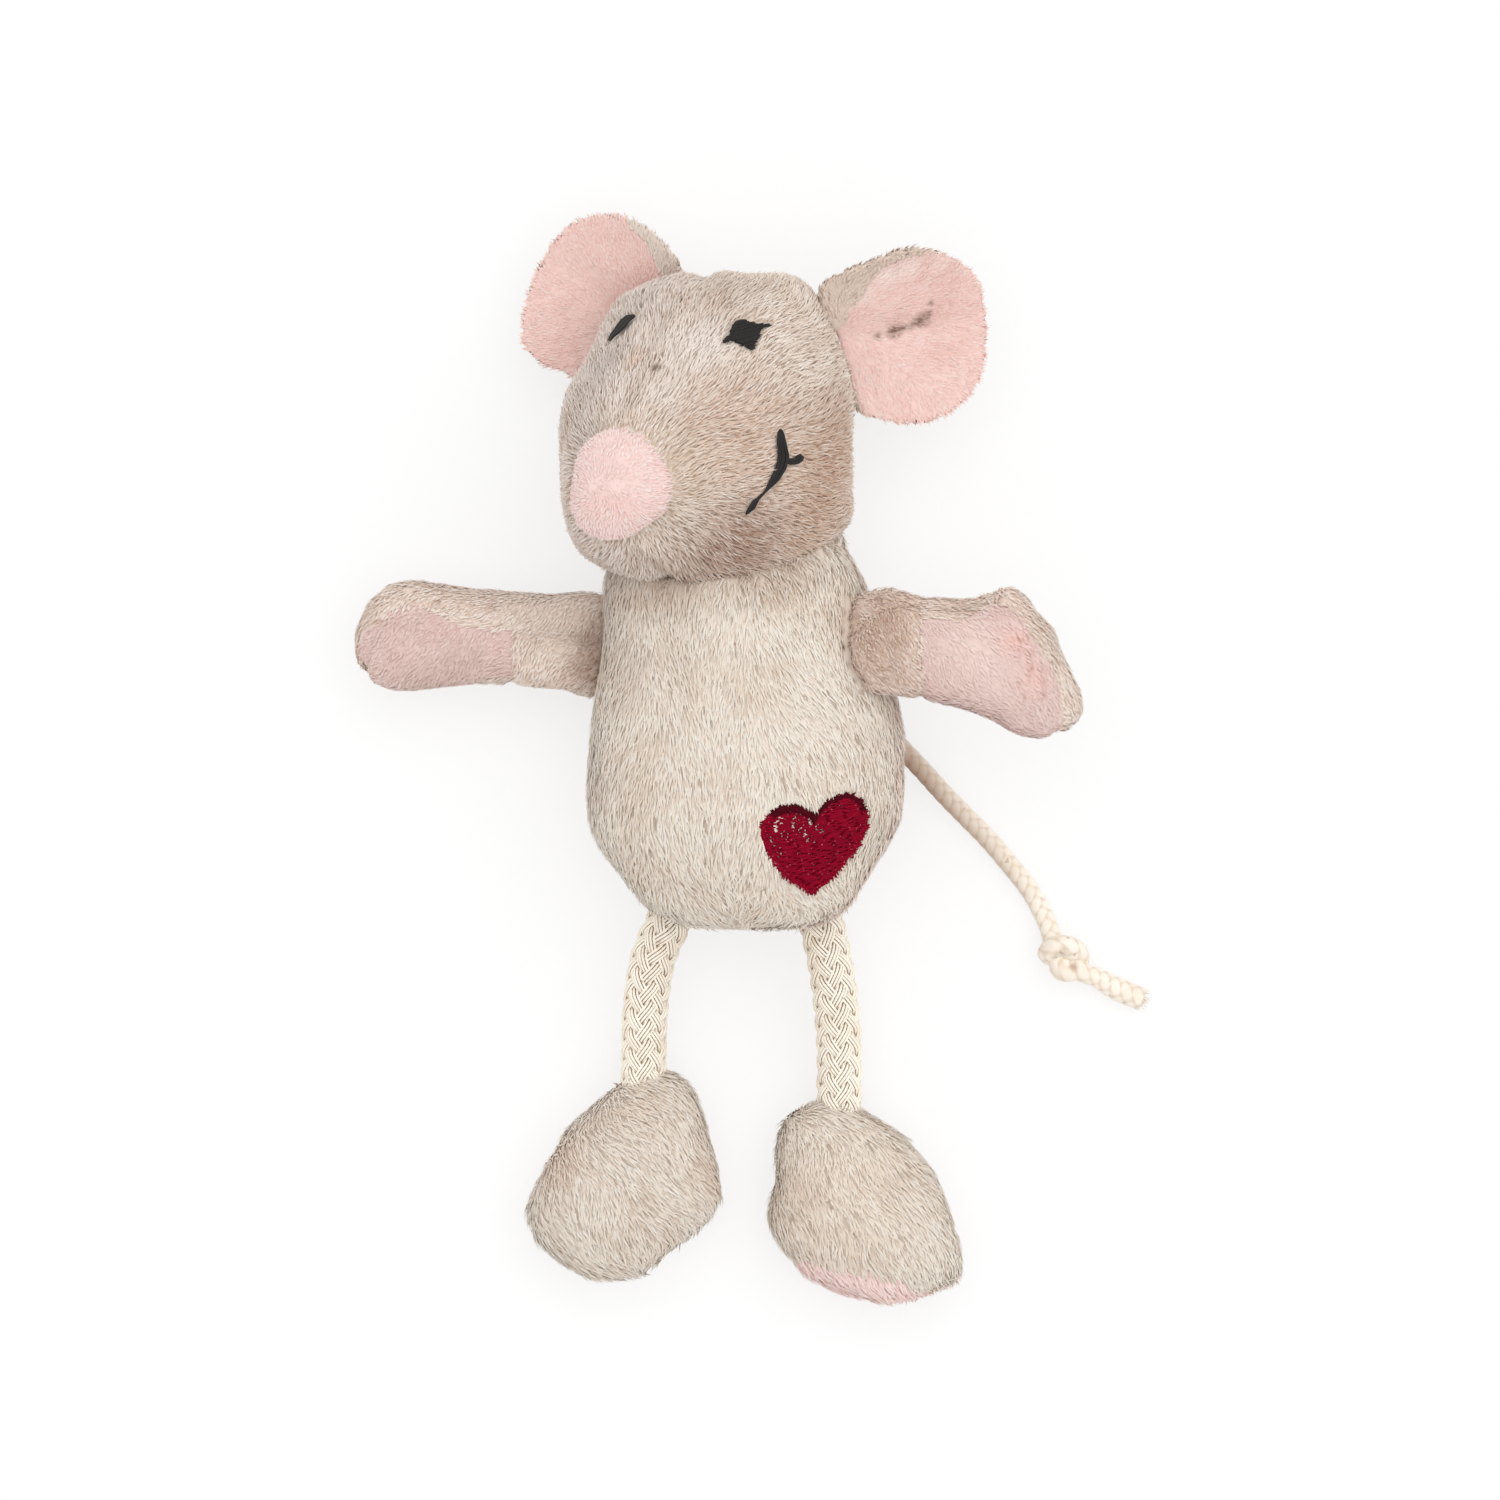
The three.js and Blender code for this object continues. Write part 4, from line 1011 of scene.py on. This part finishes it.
# Ears: a pink disc and a grey one sewn together round their edge and turned out, with no filling.
# Each is pinched at its root, where it is sewn into the side of the head.
ear_sides = {
    "left": (np.array([-0.0110, 0.0590, 0.0105]), 41, [
        (-11, 59, 60, (0.8, -0.6)), (-25, 68, 8, (0.8, -0.4)), (-26.5, 57.5, 6, (-0.8, -0.4)),
        (-15, 75, 9, (0.2, 0.4)), (-21.3, 52.5, 5, (0.1, 0.7))],
             lambda at: at[:, 0] > np.interp(at[:, 1], [65, 66.5, 71.3, 73.5], [0, -8.1, -10.2, -12.6])),
    "right": (np.array([0.0160, 0.0600, 0.0215]), 43, [
        (16, 60, 60, (0.5, -0.3)), (17, 64, 7.5, (-3.2, 1.5)), (34, 50, 9, (0.8, -0.6)),
        (18.5, 54.5, 7, (-1, 0)), (20, 49, 6, (-1.4, -0.6)), (23, 69, 8, (0.2, 0.9)),
        (36, 53, 10, (0.6, -0.2)), (27, 47, 8, (0.1, -0.7)), (25, 71, 9, (0, 0.4)), (38, 68, 6, (0.4, 0.5)),
    ], lambda at: at[:, 1] > np.interp(at[:, 0], [14, 17.2, 17.8, 19, 22.1, 25.2, 28.3, 31.8, 33],
                                       [57, 59.9, 62.4, 64.8, 67.2, 68.7, 69.3, 69.6, 90])),
}
# Painted shade in the right ear's pleat, a brown streak along its crease that is partly dirt and partly
# painted shade, and painted highlight along the rolled upper edge above it.
pleat_shade, pleat_dirt_and_shade, painted_roll_highlight = (222, 172, 160), (134, 104, 88), (252, 240, 232)
pink_ear = plush(
    "pink_ear_plush", (237, 183, 173), (243, 214, 205), (232, 178, 166), 0.08, (244, 230, 224),
    seen_on("ear_right_front", (29.5, 61.5, 4, 0.45, pleat_shade), (25, 60.5, 3, 0.4, pleat_shade),
            (21.8, 58.4, 1, 0.7, pleat_dirt_and_shade), (24, 59.1, 1.7, 1, pleat_dirt_and_shade),
            (25.2, 59.6, 1.2, 0.9, pleat_dirt_and_shade), (26.5, 60.1, 1.3, 0.9, pleat_dirt_and_shade),
            (27.9, 60.8, 2, 1, pleat_dirt_and_shade), (28.9, 61.7, 0.9, 0.7, pleat_dirt_and_shade),
            (29, 63, 0.9, 0.6, pleat_dirt_and_shade), (17.5, 53, 5, 0.3, pleat_shade), (19.8, 63.8, 3.4, 0.7, painted_roll_highlight),
            (23, 66.2, 3.2, 0.7, painted_roll_highlight), (26.5, 67.6, 3, 0.6, painted_roll_highlight), (30, 68.2, 2.6, 0.4, painted_roll_highlight)), 0.15)
ear_grey = plush(
    "ear_grey_plush", (206, 176, 154), (228, 210, 196), (188, 157, 137), 0.2, (236, 226, 217),
    seen_on("ear_left_back", (-9, 69, 6, 0.6, (240, 232, 224)), (-12, 73, 6, 0.6, (240, 232, 224))))
for hand, (root_place, seed, pushes, turned_over) in ear_sides.items():
    nodes = [f"ear_{hand}_front", f"ear_{hand}_back"]
    ear_bag = bag_of(f"ear_{hand}_bag", nodes, 0.00045, 0.00015, 3)
    nudged(ear_bag, *pushes)
    ear_sheets = cut_apart(ear_bag, nodes, lambda at, owner: np.where(turned_over(at), 1, owner))

    def ear_lay(root, out):
        return unit(root - root_place) + 0.35 * drift(root, 0.009, seed)

    for node, finish, slot, long, rim in (
        (nodes[0], pink_ear, "pink_plush", 0.0011, None),
        (nodes[1], ear_grey, "grey_plush", 0.0012, (nodes[0], 0.0005)),
    ):
        sewn_in(ear_sheets[node], node, f"ear_{hand}", slot, finish, 0.0005, 0.3,
                ear_lay, long, 0.00026, 9.5, seed, (16, -2), rim=rim)
        seed += 1


# Arms: grey mittens, each sewn from a back and a cuff of grey plush and a pink palm, lightly
# stuffed, so that they crease. They are sewn to the sides of the body and swing there.
arm_sides = {
    "left": ((-1.0, -0.25, 0.0), 51, [
        ([(-28.7, 18.2), (-23, 17.9), (-16.5, 16.6)], 0.0006, 0.0011),
        ([(-33.5, 19.5), (-34.5, 15.5), (-33.8, 12.5)], 0.0004, 0.0012),
    ], [(-17, 22, 7, (0, 0.7)), (-17, 10, 5, (0.3, -0.7)), (-31, 20, 12, (0, 0.4)),
        (-44, 10, 9, (0, -0.3)), (-46, 21, 7, (-0.2, 0.3))],
       lambda x, y: (x < -28.5) & (y > 11.5 - np.clip((x + 31) / -5, 0, 1) * 1.5)
       & (y < np.interp(x, [-50, -48.3, -46.1, -43.6, -41, -38.8, -37, -34.8, -28.8],
                        [16, 18.1, 20.1, 21.1, 21.3, 20.4, 19, 18.4, 17.8]))),
    "right": ((1.0, -0.35, 0.0), 55, [
        ([(37.6, 19.0), (38.6, 15.5), (38.0, 11.0)], 0.0004, 0.0009),
        ([(40.2, 18.5), (41.2, 16), (40.8, 13.5)], 0.0005, 0.0005),
        ([(42.2, 16.5), (43, 13.5), (42.4, 10.5)], 0.0005, 0.0005),
        ([(44.2, 12.5), (44.7, 9.5), (44, 6.5)], 0.0005, 0.0005),
        ([(41, 10.5), (41.8, 8), (41.2, 5.5)], 0.0004, 0.0005),
        ([(22.0, 18.5), (23.2, 14.5), (22.6, 11.0)], 0.0004, 0.0012),
    ], [(50, 14, 10, (-1.6, -0.1)), (42, 23, 6, (-0.5, 0.6)), (19, 15, 7, (-1.2, 0, 1.2)),
        (22, 22, 7, (0, 1.1)), (44.5, 21.5, 5, (-0.9, -0.5)), (36, 6, 8, (0, 0.2)),
        (43.5, 3.5, 6, (-0.2, -0.6)), (28, 22, 9, (0, 0.5)), (37, 24, 5, (0, 0.5)),
        (49, 12, 6, (0.3, 0))],
       lambda x, y: (x > 27.6) & (y < np.interp(
           x, [27.8, 30.5, 32.3, 34.1, 35.6, 37.7, 39.9, 41, 42.1, 43.9, 45.4, 46.4, 46.9],
           [19.35, 19.2, 18.8, 19.7, 20.6, 21.1, 20.8, 19.5, 17.7, 15.5, 13, 10.1, 0]))),
}
cuff_speck, ridge_shade, palm_shade = (140, 104, 84), (208, 150, 136), (206, 180, 166)
arm_grey = plush(
    "arm_grey_plush", (221, 190, 167), (239, 225, 214), (194, 157, 131), 0.22, (242, 235, 230), [
    # Darker at the root of the left arm, in its armpit: partly a brown stain and partly painted shade.
    *seen_on("arm_left_front", (-16.5, 12.5, 6, 0.8, (132, 98, 78)), (-19, 13.5, 6, 0.4, (170, 136, 110))),
    *seen_on("arm_left_back", (-24, 19.5, 9, 0.4, (228, 216, 202)), (-17, 17.5, 5, 0.5, (160, 126, 104)),
             (-31, 20.5, 1.5, 0.4, (140, 106, 86)), (-27, 16.8, 1.5, 0.5, (140, 106, 86))),
    *seen_on("arm_right_back", (24, 20, 8, 0.6, (190, 156, 134)), (33, 20.5, 6, 0.5, (196, 166, 146)),
             (46, 16, 6, 0.3, (206, 186, 170))),
    *seen_on("arm_right_front", (22, 15, 10, 0.7, (197, 163, 142)), (21.2, 15.5, 1.4, 0.5, cuff_speck),
             (24.5, 16.5, 1.3, 0.5, cuff_speck), (24, 13.2, 1.6, 0.5, cuff_speck),
             (20.5, 11.5, 1.5, 0.5, cuff_speck), (22.8, 11, 1.2, 0.4, cuff_speck)),
])
palm_pink = plush(
    "palm_pink_plush", (219, 180, 171), (228, 204, 196), (208, 167, 158), 0.12, (237, 221, 216), [
    *seen_on("palm_right", (36, 14, 12, 0.6, (242, 220, 212)), (40.5, 16, 4, 0.4, (246, 194, 182)),
             (43, 11, 4, 0.4, (246, 194, 182)), (31, 12, 6, 0.4, (226, 200, 190)),
             (40.9, 16.2, 0.8, 0.6, ridge_shade), (42.8, 14.2, 0.8, 0.6, ridge_shade),
             (42.9, 12.6, 0.8, 0.6, ridge_shade), (44.6, 10.6, 0.8, 0.6, ridge_shade),
             (44.5, 8.6, 0.8, 0.6, ridge_shade), (41.6, 8.4, 0.8, 0.5, ridge_shade)),
    *seen_on("palm_left", (-36, 13, 6, 0.5, palm_shade), (-31, 16, 3, 0.4, (236, 202, 196)),
             (-41, 11, 6, 0.5, palm_shade), (-44.5, 14, 4, 0.4, (216, 180, 168))),
], 0.15)
for hand, (way_out, seed, folds, pushes, palm_place) in arm_sides.items():
    nodes = [f"arm_{hand}_front", f"palm_{hand}", f"arm_{hand}_back"]
    arm_bag = bag_of(f"arm_{hand}_bag", [*nodes, f"arm_{hand}_stuffing"], 0.0009, -0.0004, 3)
    stuffed(arm_bag, nodes, 3, 0.0004)
    seamed(arm_bag, nodes, 0.0004, 0.0008)
    nudged(arm_bag, *pushes)
    for line, depth, wide in folds:
        folded(arm_bag, line, depth, wide)
    palm_level = sum(corner[2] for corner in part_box(nodes[1])) * 500

    def palm_sewn(at, owner):
        """The palm as it is seen from above, with its uneven edge."""
        within, upper = palm_place(at[:, 0], at[:, 1]), at[:, 2] > palm_level
        return np.where(upper & within, 1, np.where(upper & ~within & (owner == 1), 2, owner))

    arm_sheets = cut_apart(arm_bag, nodes, palm_sewn)

    def arm_lay(root, out):
        return np.array(way_out) * 0.7 + np.array([0, -0.5, -0.1]) + 0.45 * drift(root, 0.011, seed)

    for node, finish, slot, long, rise in (
        (nodes[0], arm_grey, "grey_plush", 0.0013, (26, 4)),
        (nodes[1], palm_pink, "pink_plush", 0.0012, (20, 0)),
        (nodes[2], arm_grey, "grey_plush", 0.0014, (22, 2)),
    ):
        sewn_in(arm_sheets[node], node, f"arm_{hand}", slot, finish, 0.0006, 0.6,
                arm_lay, long, 0.00032, 7.6, seed, rise)
        seed += 1
    filled(f"arm_{hand}_stuffing", f"arm_{hand}", seed, 0.0011)


# Feet: two flat paddles with a pale grey upper and a pink sole, lightly stuffed. Their edges are
# lumpy where the seam is turned in, and their pile runs down towards the toes.
foot_grey = plush(
    "foot_grey_plush", (216, 195, 176), (227, 218, 205), (196, 169, 148), 0.16, (234, 230, 224), [
    *seen_on("foot_left_upper", (-22, -56, 8, 0.4, (222, 196, 178)), (-1.5, -58, 6, 0.4, (216, 190, 172)),
             (-10, -50, 8, 0.3, (222, 198, 180))),
    *seen_on("foot_right_upper", (9, -60, 7, 0.4, (206, 184, 168)), (12, -68, 6, 0.3, (214, 192, 176)),
             (18, -60, 18, 0.3, (236, 216, 196))),
])
foot_sides = {
    "left": (61, [(-13, -57, 60, (-0.2, 0.1)), (-2, -52, 9, (-0.4, 0)), (-4, -66, 8, (-0.6, 0.6)),
                  (-25, -56, 7, (0.6, -0.2)), (-25, -68, 8, (-0.3, -0.4)),
                  (-4.8, -44, 5, (0, -0.5))], lambda at: at[:, 1] < -90),
    "right": (65, [(20, -62, 60, (0.3, 0.5)), (11, -48, 6, (0.5, -0.5)), (29.5, -75, 8, (-0.2, 1)),
                   (7, -58.5, 4, (0.5, 0)), (9.5, -66, 8, (-0.9, -0.7)),
                   (14, -72, 4, 8, (-0.4, -0.9)), (33, -60, 10, (0.5, 0))],
              lambda at: at[:, 1] < np.interp(at[:, 0], [6, 9, 11.3, 17.6, 23.8, 28.2, 30],
                                              [-66.9, -68, -68.8, -70.1, -71.6, -73.3, -90])),
}
for hand, (seed, pushes, turned_over) in foot_sides.items():
    nodes = [f"foot_{hand}_upper", f"foot_{hand}_sole"]
    foot_bag = bag_of(f"foot_{hand}_bag", [*nodes, f"foot_{hand}_stuffing"], 0.001, -0.0002, 3)
    stuffed(foot_bag, nodes, 3, 0.0004)
    nudged(foot_bag, *pushes)
    seamed(foot_bag, nodes, 0.0005, 0.0009)
    foot_sheets = cut_apart(foot_bag, nodes, lambda at, owner: np.where(turned_over(at), 1, owner))

    def foot_lay(root, out):
        return np.array([0.5, -0.85, 0]) + 0.4 * drift(root, 0.012, seed)

    for node, finish, slot, rim in (
        (nodes[0], foot_grey, "grey_plush", None), (nodes[1], pink, "pink_plush", (nodes[0], 0.0016)),
    ):
        sewn_in(foot_sheets[node], node, f"foot_{hand}", slot, finish, 0.0007, 0.6,
                foot_lay, 0.0026, 0.00038, 6, seed, rim=rim)
        seed += 1
    filled(f"foot_{hand}_stuffing", f"foot_{hand}", seed, 0.0012)


# Face: eyes and a smile embroidered through the plush in black thread, in close satin stitches
# that run from edge to edge of each shape.
def thread_finish(name, plain, fleck_tone, fleck_share, rough=0.5, shine=0.3):
    made, dye = dye_bath(name)
    fuzz = dye.noise(3600, 2)
    strand = (dye.layer("tint") * 0.5).blend(colour(*plain), colour(*(value * 0.6 for value in plain)))
    # Flecks of another tone: on the red thread they are partly pale plush showing between the threads and
    # partly painted highlight.
    strand = (fuzz.between(0.74 - fleck_share, 0.8 - fleck_share) * 0.8).blend(strand, colour(*fleck_tone))
    dye.surface(strand, rough, fuzz, 0.3, {"Specular IOR Level": shine})
    return made


def embroidered(name, lines, facing, body, finish, thick, lift, ragged=0.0):
    """Threads along some lines, each arched and sunk into the cloth at its two ends."""
    strands, tints = [], []
    chance = np.random.default_rng(71)
    for line in lines:
        count = 7 if len(line) < 25 else len(line)
        line = points_along(line, np.arange(len(line)), np.linspace(0, len(line) - 1, count))
        way = unit(line[-1] - line[0]) * ragged
        line[0] -= way * chance.random()
        line[-1] += way * chance.random()
        run = run_along(line)
        arch = np.clip(np.minimum(run, run[-1] - run) / 0.0005, 0, 1)
        line += np.array(facing) * (arch * thick * 0.8 - thick * 0.6 + lift)[:, None]
        line += chance.normal(0, thick * 0.08, 3)
        strands.append(thread(line, thick, 6))
        tints.append(np.full(count * 6, chance.random()))
    piece = tubes(name, strands)
    painted(piece, "tint", np.concatenate(tints))
    dressed(piece, body, finish)
    return piece


black = thread_finish("black_thread", (30, 24, 24), (80, 62, 54), 0.05)
facings = {"mouth_left": across_head(UPWARDS), "eye_left": Vector((-0.7, 0.2, 0.7))}
for node, lines in face_lines.items():
    facing, lift = facings.get(node, UPWARDS), 0.0005 if node == "mouth_left" else 0.0009
    threads = embroidered(f"{node}_stitches", lines, facing, "head", black, FACE_THREAD,
                          lift, 0.0004 if node == "eye_right" else 0)
    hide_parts(node)


# Heart: a red heart embroidered low on the belly, filled with rows of short stitches and edged
# with satin stitch, painted darker along its upper edge as the shadow of the pile over the sunk heart. Pale
# flecks on the threads are partly the plush showing between them and partly painted highlight.
def edge_stitches(patch, places, deep, gap):
    """Short stitches across the edge of a shape, all the way round it."""
    middle, stitches, last = (places.min(axis=0) + places.max(axis=0)) / 2 + [0, 0.001, 0], [], None
    for turn in np.linspace(0, 2 * np.pi, 1400):
        way, edge = np.array([np.cos(turn), np.sin(turn), 0]), None
        for far in np.arange(0.0005, 0.0105, 0.00015):
            hit = plumb(patch, *(middle + way * far)[:2])
            edge = edge if hit is None else np.array(hit)
        if last is None or np.linalg.norm(edge - last) > gap:
            stitches.append(np.linspace(edge - way * deep * (1 + 0.8 * max(way[1], 0)), edge, 7))
            last = edge
    return stitches


red = thread_finish("red_thread", (146, 4, 38), (226, 140, 152), 0.07, 0.85, 0.08)
# Painted shadow: a darker red for the upper edge of the heart, which lies sunk below the overhanging pile.
painted_shadow_red = thread_finish("dark_red_thread", (82, 4, 22), (50, 12, 16), 0.12, 0.9, 0.1)
heart_patch, heart_points = tree_of(cut["heart_patch"]), points_of(cut["heart_patch"])
rows = stitch_lines(heart_patch, heart_points, (1, 0.2), 0.0024, 81)
heart_threads = embroidered("heart_patch_stitches", rows, UPWARDS, "torso", red,
                            0.00027, -0.0006)
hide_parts("heart_patch")
border = edge_stitches(heart_patch, heart_points, 0.0005, 0.00022)
for name, finish, upper in (("heart_edge", red, False), ("heart_shaded_edge", painted_shadow_red, True)):
    some = [line for line in border if (line[-1][1] - line[0][1] > 0.0003) == upper]
    embroidered(name, some, UPWARDS, "torso", finish, 0.0003, -0.0004, 0.0006)
closed_points, which = np.unique(np.round(heart_points, 7), axis=0, return_inverse=True)
ground_faces = which.reshape(-1)[corners_of(cut["heart_patch"])]
heart_ground = made_mesh("heart_ground", closed_points - [0, 0, 0.0008], ground_faces)
painted(heart_ground, "tint", np.full(len(closed_points), 0.5))
dressed(heart_ground, "torso", red)
